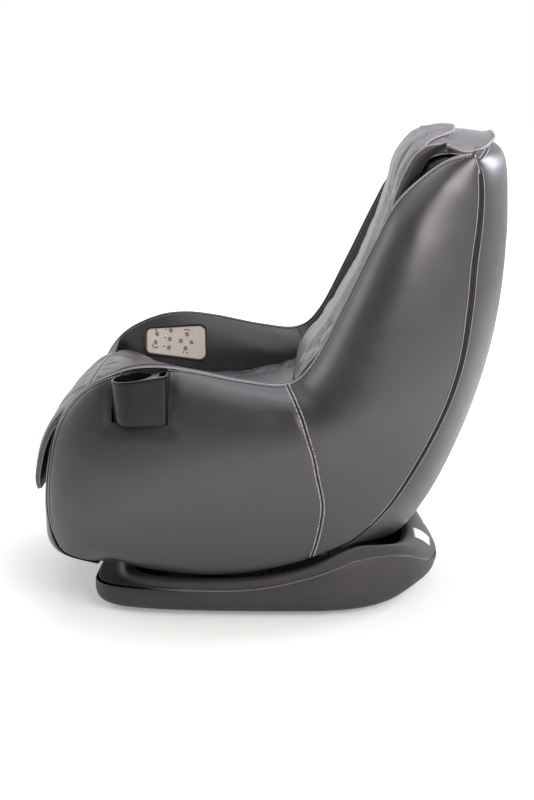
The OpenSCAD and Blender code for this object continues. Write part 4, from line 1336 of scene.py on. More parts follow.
# ---- pads ----------------------------------------------------------------------------------------
@dataclass
class Pad:
    """A sewn pad laid along a line, with channels sunk along and across it."""

    name: str
    node: str
    line: Line
    thick: Callable[[float], float]
    half: Callable[[float], float]
    droop: Callable[[float], float]
    face_side: int
    rows: int = 170
    across: int = 84
    under: int = 30
    gusset: int = 5
    edge_share: float = 0.24
    joint: Callable[[float], float] | None = None
    channel: float = 0.62
    channel_depth: float = 4.5
    channel_w: float = 9.0
    channel_span: tuple[float, float] = (0.0, 1.0)
    cross_seams: tuple[float, ...] = ()
    swell: float = 9.0
    slack: float = 3.0
    seam_reach: float = 15.0
    pressure: float = 4.0
    frames: int = 20
    samples: int = 400

    def __post_init__(self) -> None:
        """Measure the pad along its line."""
        points = self.line.points
        self.length = sum((b - a).length for a, b in zip(points, points[1:]))

    def groove(self, t: float, s: float) -> float:
        """Depth of the sewn channels at a place.

        Args:
            t: Share along the pad, 0 to 1.
            s: Share across it from its middle, -1 to 1.

        Returns:
            The depth in millimetres.
        """
        low, high = self.channel_span
        fade = ease(clamp((t - low) / 0.03, 0, 1)) * ease(clamp((high - t) / 0.03, 0, 1))
        deep = fade * hump((abs(s) - self.channel) * self.half(t), self.channel_w)
        for seam in self.cross_seams:
            deep = max(deep, hump((t - seam) * self.length, self.channel_w) * clamp((1 - abs(s)) * 12, 0, 1))
        return deep * min(self.channel_depth, 0.3 * self.thick(t))

    def top(self, t: float, s: float) -> Vector:
        """Place on the pad's face.

        Args:
            t: Share along the pad, 0 to 1.
            s: Share across it from its middle, -1 to 1.

        Returns:
            The place in millimetres.
        """
        crown = self.thick(t) * self.edge_share * (1 - (1 - min(abs(s), 1) ** 4) ** 0.5)
        slack = self.slack * self.fullness(t, s)
        return self.lift(t, s, crown + slack + self.groove(t, s) + self.step(t, s))

    def step(self, t: float, s: float) -> float:
        """Drop of the face behind the joint of a pillow that lies on it.

        Args:
            t: Share along the pad, 0 to 1.
            s: Share across it from its middle, -1 to 1.

        Returns:
            The drop in millimetres.
        """
        if not self.joint:
            return 0.0
        behind = (t - self.joint(s)) * self.length
        return 4.5 * ease(clamp(0.5 + behind / 7, 0, 1))

    def lift(self, t: float, s: float, depth: float) -> Vector:
        """Place at a depth under the pad's face.

        Args:
            t: Share along the pad, 0 to 1.
            s: Share across it from its middle, -1 to 1.
            depth: Distance under the line of the face.

        Returns:
            The place in millimetres.
        """
        face = self.line.at(t)
        out = left_of(self.line.heading(t)) * self.face_side
        p = face - out * depth
        return Vector((s * self.half(t), p.x, p.y - self.droop(t) * s * s))

    def border(self, t: float, side: float, share: float) -> Vector:
        """Place on the gusset at a share of the thickness, bowed out a little.

        Args:
            t: Share along the pad, 0 to 1.
            side: The sign of X, or a share across the end.
            share: Share of the thickness, from the face down.

        Returns:
            The place in millimetres.
        """
        p = self.lift(t, side, lerp(self.edge_share, 1 - self.edge_share * 0.7, share) * self.thick(t))
        p.x += side * 0.06 * self.thick(t) * math.sin(math.pi * share)
        return p

    @property
    def count(self) -> int:
        """Faces round the whole section."""
        return self.across + self.under + 2 * self.gusset

    def place(self, row: float, around: float) -> Vector:
        """Place round the closed section: face, gusset, underside, gusset.

        Args:
            row: Share along the pad, 0 to 1.
            around: Share round the section.

        Returns:
            The place in metres.
        """
        k = (around * self.count) % self.count
        if k <= self.across:
            share = k / self.across
            p = self.top(row, lerp(-math.cos(math.pi * share), 2 * share - 1, 0.45))
        elif k < self.across + self.gusset:
            p = self.border(row, 1, (k - self.across) / self.gusset)
        elif k <= self.across + self.gusset + self.under:
            share = 1 - (k - self.across - self.gusset) / self.under
            s = lerp(-math.cos(math.pi * share), 2 * share - 1, 0.3)
            low = 0.7 * self.edge_share * (1 - max(1 - abs(s) ** 6, 0) ** 0.5)
            p = self.lift(row, s, self.thick(row) * (1 - low))
        else:
            p = self.border(row, -1, (self.count - k) / self.gusset)
        return p * MM

    def build(self) -> Object:
        """Make the pad, round its ends and sew its channels.

        Returns:
            The pad.
        """
        obj = piece(self.name, sewn(mapped(self.rows, self.count, self.place)), PAD)
        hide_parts(self.node)
        self.inflate(obj)
        self.sew(Skin(obj))
        self.pipe()
        return obj

    def fullness(self, t: float, s: float) -> float:
        """How far a place of the face may rise: 0 on a seam, 1 far from them all.

        Args:
            t: Share along the pad, 0 to 1.
            s: Share across it from its middle, -1 to 1.

        Returns:
            The share of the full rise.
        """
        low, high = self.channel_span
        seams = [*self.cross_seams, *([self.joint(s)] if self.joint else [])]
        gaps = [(t - seam) * self.length for seam in seams]
        if low < t < high:
            gaps.append((abs(s) - self.channel) * self.half(t))
        sewn_down = max((hump(gap, self.seam_reach) for gap in gaps), default=0.0)
        ends = ease(clamp(16 * t, 0, 1)) * ease(clamp(16 * (1 - t), 0, 1))
        return (1 - sewn_down) * ends * max(1 - abs(s) ** 6, 0.0) ** 0.5

    def inflate(self, obj: Object) -> None:
        """Swell the face by a cloth simulation whose seams, gusset and underside are held.

        Args:
            obj: The pad; each place of its face rises by no more than its fullness allows.
        """
        samples = KDTree(self.samples + 1)
        for i, p in enumerate(along(self.samples, self.line.at)):
            samples.insert(at(0, p), i)
        samples.balance()
        rest, caps, ways = [], [], []
        held = obj.vertex_groups.new(name="held")
        for vertex in obj.data.vertices:
            y, z = vertex.co.yz
            t = samples.find((0, y, z))[1] / self.samples
            s = clamp(vertex.co.x / MM / self.half(t), -1, 1)
            t = samples.find((0, y, z + self.droop(t) * s * s * MM))[1] / self.samples
            out = left_of(self.line.heading(t)) * self.face_side
            depth = (self.line.at(t) - vertex.co.yz / MM).dot(out) - self.droop(t) * s * s * out.y
            cap = self.fullness(t, s) if depth < 0.5 * self.thick(t) else 0.0
            if cap < 0.12:
                held.add([vertex.index], 1.0, "REPLACE")
            rest.append(vertex.co.copy())
            caps.append(cap * min(self.swell, 0.5 * self.thick(t)) * MM)
            ways.append(vertex.normal.copy())
        finish_with(obj, "CLOTH")
        cloth = obj.modifiers[-1]
        cloth.settings.use_pressure = True
        cloth.settings.uniform_pressure_force = self.pressure
        cloth.settings.effector_weights.gravity = 0.0
        cloth.settings.vertex_group_mass = "held"
        cloth.settings.shrink_min = -0.02
        cloth.point_cache.frame_start, cloth.point_cache.frame_end = 1, self.frames
        for frame in range(1, self.frames + 1):
            bpy.context.scene.frame_set(frame)
        apply_modifiers(obj)
        risen = 0.0
        for vertex, start, cap, way in zip(obj.data.vertices, rest, caps, ways):
            rise = clamp((vertex.co - start).dot(way), -0.3 * cap, cap)
            vertex.co = start + way * rise
            risen = max(risen, rise)
        obj.vertex_groups.clear()
        finish_with(obj, "SUBSURF", levels=1, render_levels=1)
        log.info("%s rose by up to %.1f mm", obj.name, risen / MM)

    def pipe(self) -> None:
        """Lay piping round the face and the gusset's foot, down both sides and across the end."""
        half_end = (0.97, 0.9, 0.75, 0.5, 0.25)
        for name, share, radius in (("face", 0.04, 1.7), ("foot", 0.96, 1.4)):
            path = along(200, lambda t: self.border(t, 1, share))
            path += [self.border(1, s, share) for s in (*half_end, 0, *(-s for s in reversed(half_end)))]
            path += along(200, lambda t: self.border(1 - t, -1, share))
            SEWING.cord(f"{self.name}_piping_{name}", [p * MM for p in path], radius, EDGING_HIGHLIGHT)
        if self.joint:
            shares = along(120, lambda i: math.sin(math.pi * (i - 0.5)))
            path = [self.top(self.joint(s) - 0.004, s) * MM for s in shares]
            SEWING.cord(f"{self.name}_joint_piping", path, 1.9, EDGING_HIGHLIGHT)

    def sew(self, skin: Skin) -> None:
        """Lay the channel seams and the cross seams with their stitches.

        Args:
            skin: The finished surface of the pad.
        """
        low, high = self.channel_span
        for side in Side:
            s = side.value * self.channel
            rows = along(150, lambda i: lerp(low + 0.01, high - 0.01, i))
            path = [skin.near(self.top(t, s) * MM, 0.1) for t in rows]
            SEWING.seam(f"{self.name}_seam_{side.word}", path, 0.8, SEAM_SHADE)
            for aside, name in ((-3.2, "a"), (3.2, "b")):
                SEWING.stitches(f"{self.name}_stitches_{side.word}_{name}", path, THREAD, aside)
        for i, seam in enumerate(self.cross_seams):
            path = along(90, lambda k: skin.near(self.top(seam, lerp(-0.96, 0.96, k)) * MM, 0.1))
            SEWING.seam(f"{self.name}_cross_{i}", path, 0.8, SEAM_SHADE)
            SEWING.stitches(f"{self.name}_cross_stitches_{i}", path, THREAD, 3.2)


def seat_pad() -> Pad:
    """The seat pad, which rolls over the front edge and hangs in front of the shell.

    Returns:
        The pad, still to be built.
    """
    return Pad(
        "seat_cover",
        "seat_pad",
        Line([(46, 440), (0, 426), (-100, 411), (-200, 416), (-275, 437), (-326, 457), (-362, 461),
              (-404, 441), (-441, 399), (-464, 349), (-476, 298), (-479, 268), (-477, 246)]),
        scale_line([28 * v for v in (0.7, 1, 1, 1, 1, 1, 0.95, 0.85, 0.7, 0.6, 0.55, 0.5, 0.35)]),
        scale_line([228 * v for v in (0.94, 1, 1, 1, 1, 1, 1, 0.995, 0.99, 0.985, 0.98, 0.97, 0.9)]),
        scale_line([3, 6, 12, 14, 16, 16, 14, 9, 5, 3, 3, 3, 3]),
        -1,
        cross_seams=(0.53,),
    )


def back_pad() -> Pad:
    """The back pad with the head pillow and the flap that lies over the top of the shell.

    Returns:
        The pad, still to be built.
    """
    face = [polar(FORM.track_c, 1000, lerp(50.5, 75.006, k)) for k in (0, 0.265, 0.55, 0.795, 1)]
    h = FORM.back_h
    top = [(254, h - 76), (276, h - 33), (305, h - 8), (345, h), (380, h - 3), (420, h - 6), (450, h - 12)]
    return Pad(
        "back_pad_cover",
        "back_pad",
        Line([*face, *top]),
        scale_line([22.4, 28, 28, 28, 28, 40, 40, 40, 30, 8, 8, 6.4]),
        scale_line([186.2, 196, 196, 196, 196, 196, 196, 196, 200, 225.4, 186.2, 73.5]),
        scale_line([0, 0, 0, 0, 0, 8, 10, 12, 19, 33, 23, 6]),
        1,
        rows=200,
        channel_span=(0.03, 0.66),
        joint=lambda s: (8.8 - 1.9 * abs(s) ** 2.6) / 11,
    )


@dataclass
class FoldedLining:
    """Loose lining tucked between the back pad and the two wings, in lengthwise folds."""

    inner_x: float = 190.0
    outer_x: float = 233.0
    length: float = 0.6
    rows: int = 160
    across: int = 48

    def place(self, pad: Pad, side: Side) -> Place:
        """Carries a pair of shares over the strip beside the pad.

        Args:
            pad: The back pad.
            side: The side of the strip.

        Returns:
            Function of the share down the strip and of the share across it.
        """

        def carried(row: float, across: float) -> Vector:
            """Place of one pair of shares on the folds.

            Args:
                row: Share down the strip.
                across: Share across it, from the pad outwards.

            Returns:
                The place in metres.
            """
            t = lerp(0.06, 0.72, row)
            sway = 0.6 * math.sin(5 * row) + 0.4 * math.sin(11 * row + side.value)
            fold = math.sin(math.tau * (2.6 * across + sway * 0.35))
            deep = lerp(0.95, 1.0, ease(row)) * max(pad.thick(t), 26 * ease(clamp(5 * row - 3, 0, 1)))
            depth = lerp(deep, 0.6 * deep, across) + 2 + 4.0 * fold * math.sin(math.pi * across) ** 0.5
            p = pad.lift(t, 1, depth)
            return side.carry(Vector((lerp(self.inner_x, self.outer_x, across), p.y, p.z + pad.droop(t))))

        return carried

    def build(self, pad: Pad) -> None:
        """Make the two strips.

        Args:
            pad: The back pad.
        """
        for side in Side:
            bm = mapped(self.rows, self.across, self.place(pad, side))
            obj = piece(f"folded_lining_{side.word}", bm, LINING)


# ---- base ----------------------------------------------------------------------------------------
@dataclass
class BaseShells:
    """The lower and the upper moulding of the base, and the bare plate on its rear."""

    wall: float = 4.0
    plan: tuple[tuple[float, float, float, float], ...] = (
        (-360, 226, 31, 57), (-345, 258, 17, 58), (-318, 277, 10, 58), (-269, 289, 7, 58),
        (-165, 298, 7, 58), (-22, 297, 7, 63), (91, 291, 7, 88), (140, 284, 7, 104), (192, 268, 7, 118),
        (249, 236, 10, 118), (296, 196, 24, 102), (332, 140, 33, 75), (352, 78, 38, 60), (362, 30, 42, 52),
    )
    edge: tuple[tuple[float, float, float], ...] = (
        (0, -358, 61), (120, -358, 61), (214, -355, 61), (266, -322, 61), (293, -165, 61), (292, -18, 66),
        (286, 91, 91), (279, 140, 107), (263, 192, 121), (231, 249, 121), (191, 296, 106), (130, 334, 78),
        (63, 354, 64), (0, 362, 58),
    )
    foot: tuple[tuple[float, float, float], ...] = (
        (0, -318, 61), (120, -316, 61), (218, -304, 61), (264, -270, 61), (289, -165, 62), (288, -18, 67),
        (282, 91, 92), (275, 139, 108), (259, 190, 122), (228, 246, 122), (188, 293, 107), (127, 331, 79),
        (60, 350, 65), (0, 358, 59),
    )
    rim: tuple[tuple[float, float, float], ...] = (
        (0, -302, 83), (120, -300, 83), (212, -290, 82), (256, -262, 80), (280, -165, 79), (281, -14, 86),
        (278, 91, 113), (275, 140, 140), (266, 190, 158), (244, 234, 152), (200, 268, 142), (130, 287, 134),
        (62, 295, 131), (0, 297, 130),
    )
    steps: int = 26

    def tray(self, p: Vector, solid: bool) -> list[Vector]:
        """Closed section of the lower moulding at a row of its plan.

        Args:
            p: Y, half width, low and high edge of the row.
            solid: Whether the row is an end wall.

        Returns:
            The corners in order.
        """
        y, w, lo, hi = p
        h, t = hi - lo, self.wall
        r = min(24, h * 0.45)
        outer = [(w - 5, hi), (w, hi - 0.3 * h), (w, lo + r), (w - 0.3 * r, lo + 0.3 * r), (w - 1.2 * r, lo),
                 (w * 0.4, lo)]
        inner = [((w - 5 - t) * (1 - k / 6), hi - 0.6 * k) for k in range(6)] if solid else [
            (w - 5 - t, hi), (w - t, hi - 0.3 * h), (w - t, lo + r), (w - t - 0.3 * r, lo + t + 0.2 * r),
            (w - t - 1.2 * r, lo + t), (w * 0.4 - t, lo + t)]
        ring = [*outer, *[(-x, z) for x, z in reversed(outer)], *[(-x, z) for x, z in inner],
                *[(x, z) for x, z in reversed(inner)]]
        return [Vector((x, y, z)) for x, z in ring]

    def skirt(self, edge: Vector, foot: Vector, rim: Vector, way: Vector) -> list[Vector]:
        """Closed section of the upper moulding at a row of its outline.

        Args:
            edge: Where it meets the lower moulding.
            foot: Its outer foot.
            rim: Its upper rim.
            way: Direction of the outline here.

        Returns:
            The corners in order.
        """
        t = self.wall
        spot = Vector((rim.y, rim.z)) - FORM.rock_c
        r = spot.length
        a = math.degrees(math.asin(spot.x / r))
        k = clamp((a - 18) / 8, 0, 1)
        lip = polar(FORM.rock_c, r + 2 + 10 * k, a * 0.94)
        tip = Vector((rim.x * 0.95, lip.x, lip.y))
        out = Vector((way.y, -way.x, 0)).normalized()
        inward = -out * t
        shoulder = min(9, 0.2 * (rim.z - foot.z))
        down = Vector((0, 0, -t))
        belly = (foot + rim) / 2 + out * 7 + Vector((0, 0, shoulder))
        return [
            edge, foot, belly, rim, tip, tip + down * lerp(1, 0.4, k) + inward * lerp(0.3, -0.8, k),
            rim + down * lerp(1, 1.8, k) + inward * lerp(0.6, 0, k), belly + inward + down * 0.6,
            foot + inward * 3 + down * 2, foot + inward * 1.5 + down * 2, foot + inward * 1.5 + down * 0.6,
            edge + down * 0.55,
        ]

    def mould(self, name: str, sections: list[list[Vector]], node: str, closed: bool) -> Object:
        """Loft closed sections into a smooth moulding that replaces a solid.

        Args:
            name: Name of the piece.
            sections: Corners of each section, in millimetres.
            node: The solid that it replaces.
            closed: Whether the last section joins the first.

        Returns:
            The moulding.
        """
        rows, corners = len(sections) - (not closed), len(sections[0])

        def place(row: float, around: float) -> Vector:
            """Corner of one section, in metres."""
            return sections[round(row * rows) % len(sections)][round(around * corners) % corners] * MM

        obj = piece(name, sewn(mapped(rows, corners, place)), BASE, "base")
        finish_with(obj, "SUBSURF", levels=2, render_levels=2)
        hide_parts(node)
        return obj

    def lower(self) -> Object:
        """The lower moulding, with its floor and its turned-in ends.

        Returns:
            The moulding.
        """
        line = Line(self.plan)
        first, last = line.at(0), line.at(1)
        sections = [
            self.tray(first, True),
            self.tray(first + Vector((self.wall, 6, -3, 0)), False),
            *(self.tray(line.at(i / self.steps), False) for i in range(1, self.steps - 1)),
            self.tray(last + Vector((-self.wall, 8, -1, 2)), False),
            self.tray(last, True),
        ]
        return self.mould("base_tray", sections, "base_lower_shell", False)

    def upper(self) -> Object:
        """The upper moulding that rises round the shell at the rear.

        Returns:
            The moulding.
        """
        edge, foot, rim = (Line(points) for points in (self.edge, self.foot, self.rim))
        half = along(self.steps, lambda t: self.skirt(edge.at(t), foot.at(t), rim.at(t), foot.heading(t)))
        mirror = Vector((-1, 1, 1))
        sections = half + [[p * mirror for p in section] for section in half[-2:0:-1]]
        obj = self.mould("base_skirt", sections, "base_upper_shell", True)
        # A light cord along the parting: the painted highlight of the lip where the mouldings meet.
        seam = along(120, lambda t: foot.at(t) + Vector((foot.at(t).x / 300, 0, -3.6)))
        seam += [p * mirror for p in seam[-2:0:-1]]
        SEWING.cord("base_parting_bead", [p * MM for p in seam], 2.8, PARTING_HIGHLIGHT, loop=True, body="base")
        return obj

    def plate(self, skin: Skin) -> None:
        """The bare white plate on the rear of the upper moulding.

        Args:
            skin: The finished surface of the upper moulding.
        """
        a, b = Vector((58.5, 305.5, 121.4)) * MM, Vector((111.8, 306.8, 118.2)) * MM
        c, d = Vector((7.4, 345.6, 81.7)) * MM, Vector((51, 344.5, 77.6)) * MM
        out = Vector((0.03, 0.72, 0.69)).normalized()

        def place(row: float, across: float) -> Vector:
            """Place of the plate on the moulding under it."""
            p = a.lerp(b, across).lerp(c.lerp(d, across), row)
            return (skin.seen(p + out * 0.03, -out, 0.3) or skin.near(p, 0.3))[0]

        bm = mapped(10, 14, place)
        bmesh.ops.solidify(bm, geom=bm.faces, thickness=0.0004)
        bmesh.ops.recalc_face_normals(bm, faces=bm.faces)
        piece("bare_plate", bm, BLANK, "base")

    def build(self) -> None:
        """Make the base's mouldings and dress them."""
        self.lower()
        self.plate(Skin(self.upper()))


# ---- cup holder ----------------------------------------------------------------------------------
@dataclass
class CupHolder:
    """Polished cup holder with a round well and a slot for a telephone behind it."""

    x: float = 320.0
    y: float = -256.0
    foot: float = 421.0
    d: float = 84.0
    height: float = 92.0
    wall: float = 3.0
    slot_l: float = 70.0
    slot_w: float = 13.0
    corner: float = 12.0
    taper: float = 4.5

    @property
    def right(self) -> float:
        """Distance of the squared rear's outer side from the well's middle."""
        return self.d * 0.36

    def outline(self, grow: float = 0.0, steps: int = 64) -> list[Vector]:
        """Plan outline, counter-clockwise: a round front and a squared rear.

        Args:
            grow: Distance outside the true outline.
            steps: Points of the full circle.

        Returns:
            The points about the middle of the well.
        """
        r = self.d / 2 + grow
        right, rear = self.right + grow, self.slot_l + grow
        points = [r * Vector(round_at(360 * i / steps)) for i in range(steps)]
        for cx, start in ((right - self.corner, 0), (self.corner - r, 90)):
            centre = Vector((cx, rear - self.corner))
            points += along(8, lambda k: centre + self.corner * Vector(round_at(start + 90 * k)))
        return [points[i] for i in convex_hull_2d(points)]

    def distance(self, x: float, y: float) -> float:
        """Signed distance of a place of the plan from the outline, outside positive.

        Args:
            x: Place across the chair.
            y: Place along it.

        Returns:
            The distance in millimetres.
        """
        u, v = x - self.x, y - self.y
        r = self.d / 2
        ball = math.hypot(u, v) - r
        if v < 0:
            return ball
        box = max(abs(u - (self.right - r) / 2) - (self.right + r) / 2, v - self.slot_l)
        return min(ball, box)

    def pocket(self) -> BMesh:
        """The space that the side gives up to the cup holder.

        Returns:
            The space as a closed mesh.
        """
        turn = Matrix.Translation(Vector((self.x, self.y, 0)) * MM)
        outline = [p * MM for p in self.outline(0.6)]
        return prism(outline, (self.foot - 0.3) * MM, 0.62, turn)

    def rim(self, y: float) -> float:
        """Height of the sloping rim over a place of the plan."""
        return self.foot + self.height - 10 + (y + 60) * math.tan(math.radians(7))

    def build(self) -> Object:
        """Make the body with a drawn-in foot and a sloping rounded rim, and cut its wells.

        Returns:
            The cup holder.
        """
        outline = self.outline(0.0)
        count = len(outline)
        rings = ((0, 1.6), (0.02, 0.5), (0.05, 0), (0.2, 0), (0.4, 0), (0.6, 0), (0.8, 0), (0.93, 0),
                 (0.975, 0.2), (1.0, 0.8))

        def place(row: float, around: float) -> Vector:
            """Place on the wall of the body.

            Args:
                row: Share up the rings.
                around: Share round the outline.

            Returns:
                The place in metres.
            """
            h, inset = rings[round(row * (len(rings) - 1))]
            p = outline[round(around * count) % count]
            pull = inset + self.taper * (1 - h) ** 1.6 * clamp(0.35 - p.y / 60, 0, 1)
            q = p + (Vector((0, 8.0)) - p).normalized() * pull
            z = lerp(self.foot, self.rim(q.y), h)
            return Vector((self.x + q.x, self.y + q.y, z)) * MM

        obj = piece("cup_holder_body", sewn(mapped(len(rings) - 1, count, place)), GLOSS)
        depth, middle = 0.13, self.foot + self.wall + 65
        place_well = Matrix.Translation(Vector((self.x, self.y, middle)) * MM)
        well = bmesh.new()
        bmesh.ops.create_cone(well, cap_ends=True, segments=96, radius1=(self.d / 2 - 9) * MM,
                              radius2=(self.d / 2 - self.wall) * MM, depth=depth, matrix=place_well)
        cut(obj, well)
        rear = self.y + self.slot_l - self.slot_w / 2 - self.wall - 1
        place_slot = Matrix.Translation(Vector((self.x - 2, rear, middle)) * MM)
        slot = bmesh.new()
        size = Matrix.Diagonal((0.044, self.slot_w * MM, depth, 1))
        bmesh.ops.create_cube(slot, size=1, matrix=place_slot @ size)
        upright = [e for e in slot.edges if abs(e.verts[0].co.z - e.verts[1].co.z) > 0.1]
        bmesh.ops.bevel(slot, geom=upright, offset=0.004, segments=4, affect="EDGES", profile=0.5,
                        material=-1)
        cut(obj, slot)
        soften(obj, 48)
        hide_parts("cup_holder")
        return obj


# ---- control panel -------------------------------------------------------------------------------
@dataclass
class ControlPanel:
    """Plate in its tray, trim ring, button rings and printed dots of the panel in the right arm."""

    y: float = -245.0
    drop: float = 64.0
    crest: float = 522.0
    up: float = 2.0
    hole_r: float = 4.3
    ring_r: float = 4.9
    corners: tuple[tuple[float, float, float], ...] = (
        (-61, -25, 11), (-62, 29.5, 11), (74, 39, 14), (77, -41, 14),
    )
    buttons: tuple[tuple[float, float], ...] = (
        (-38, 19), (-41, -1), (-6, 27), (-8, 7), (-10, -13), (32, 19), (18, 3), (43, 0), (29, -14),
    )
    dots: tuple[tuple[float, float], ...] = (
        (-40, 27.6), (-48, -8.6), (-45, -13), (-40.6, -14), (-36, -12.6), (-16.5, 29), (-18.4, 9.5),
        (-21, -10.5), (26.5, 28.6), (32, 29.6), (37.5, 28), (24.5, -23.5), (33, -25),
    )

    def turn(self) -> Matrix:
        """Placement of the panel's own axes: u to the rear, v up the slope, w out of it.

        Returns:
            Placement from the panel's axes, in metres, to the chair's.
        """
        top = FORM.crest_x - FORM.crest_band
        lean = math.atan((top - FORM.wall_x) / FORM.arm_slope)
        face = -top + (top - FORM.wall_x) * self.drop / FORM.arm_slope
        axes = Matrix(((0, -math.sin(lean), math.cos(lean)), (1, 0, 0), (0, math.cos(lean), math.sin(lean))))
        return Matrix.Translation(Vector((face, self.y, self.crest - self.drop)) * MM) @ axes.to_4x4()

    def outline(self, grow: float) -> list[Vector]:
        """Rounded outline grown by some millimetres, in the panel's plane.

        Args:
            grow: Distance outside the true outline.

        Returns:
            The points in order.
        """
        n = len(self.corners)
        points = []
        for i, (u, v, radius) in enumerate(self.corners):
            p = Vector((u, v))
            a = (p - Vector(self.corners[i - 1][:2])).normalized()
            b = (Vector(self.corners[(i + 1) % n][:2]) - p).normalized()
            na, nb = left_of(a), left_of(b)
            centre = p - (na + nb) * radius / (1 + na.dot(nb))
            points += along(6, lambda k: centre + na.lerp(nb, k).normalized() * (radius + grow))
        return points

    def slab(self, grow: float, low: float, high: float) -> BMesh:
        """The outline grown and extruded between two heights, all in millimetres."""
        return prism([p * MM for p in self.outline(grow)], low * MM, high * MM, self.turn())

    def spot(self, u: float, v: float, w: float = 0.0) -> Matrix:
        """Placement at a place of the panel's own axes, in millimetres."""
        return self.turn() @ Matrix.Translation(Vector((u, v, w)) * MM)

    def discs(self, places: Sequence[tuple[float, float]], segments: int, radii: tuple[float, float],
              depth: float, w: float) -> BMesh:
        """Short cones on the panel's own axes, as one mesh.

        Args:
            places: Their middles in the panel's plane.
            segments: Faces round each cone.
            radii: Radius of its lower and of its upper end.
            depth: Its height.
            w: Height of its middle over the plane.

        Returns:
            The mesh, in metres.
        """
        bm = bmesh.new()
        for u, v in places:
            bmesh.ops.create_cone(bm, cap_ends=True, segments=segments, radius1=radii[0] * MM,
                                  radius2=radii[1] * MM, depth=depth * MM, matrix=self.spot(u, v, w))
        return bm

    def pocket(self) -> BMesh:
        """The space that the arm gives up to the panel."""
        return self.slab(4.3, self.up - 6.3, 40)

    def build(self) -> None:
        """Make the plate and its tray, and lay the trim, the rings round the buttons and the dots."""
        tray = piece("panel_tray", self.slab(4.0, -4.2, 0.6), FRAME_TRIM)
        cut(tray, self.slab(0.3, -3.8, 20))
        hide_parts("panel_bezel")
        plate = piece("panel_face", self.slab(0.0, -3.5, self.up), PANEL)
        cut(plate, self.discs(self.buttons, 32, (self.hole_r, self.hole_r), 20, 0))
        soften(plate, 50)
        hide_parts("panel_plate")
        ring = [self.spot(p.x, p.y, 1.4).translation for p in self.outline(3.2)]
        SEWING.cord("panel_trim_ring", ring, 3.4, FRAME_TRIM, loop=True)
        for i, (u, v) in enumerate(self.buttons):
            ways = [round_at(360 * k / 40) for k in range(40)]
            places = [self.spot(u + self.ring_r * c, v + self.ring_r * d, self.up + 0.25) for c, d in ways]
            circle = [place.translation for place in places]
            SEWING.cord(f"button_ring_{i + 1}", circle, 0.75, CHROME, loop=True)
        piece("panel_dots", self.discs(self.dots, 20, (1.9, 1.6), 0.4, self.up + 0.15), MARK)


# ---- finishes of the solids that stay ------------------------------------------------------------
@dataclass
class Hardware:
    """Gives the frame's own solids their finishes."""

    table: tuple[tuple[Finish, tuple[str, ...]], ...] = (
        (STEEL, ("base_frame", "frame_side_left", "frame_side_right", "frame_tubes", "carriage_frame")),
        (BRIGHT, ("rocker_rail_left", "rocker_rail_right", "tilt_rack", "tilt_pinion", "track_left",
                  "track_right", "travel_pinions", "knead_shaft")),
        (BOX, ("power_supply", "controller_box")),
        (MOTOR, ("tilt_motor", "travel_motor", "knead_motor", "front_rollers", "rear_rollers",
                 "massage_arm_left", "massage_arm_right")),
        (RUBBER, ("feet", "inlet_plate")),
        (SWITCH, ("power_switch",)),
        (FOAM, ("seat_cushion",)),
        (LINING, ("back_liner", "belly_plate", "head_rail")),
        (PLYWOOD, ("seat_pan",)),
        (ACETAL, ("upper_guide_axle", "lower_guide_axle", "massage_roller_1", "massage_roller_2",
                  "massage_roller_3", "massage_roller_4")),
        (CAP, tuple(f"button_{i}" for i in range(1, 10))),
    )

    def dress(self, nodes: dict[str, Object]) -> None:
        """Assign each finish to its solids.

        Args:
            nodes: The frame's solids by name.
        """
        for finish, names in self.table:
            for name in names:
                slots = nodes[name].material_slots
                if not slots:
                    nodes[name].data.materials.append(finish.material())
                for slot in slots:
                    slot.material = finish.material()


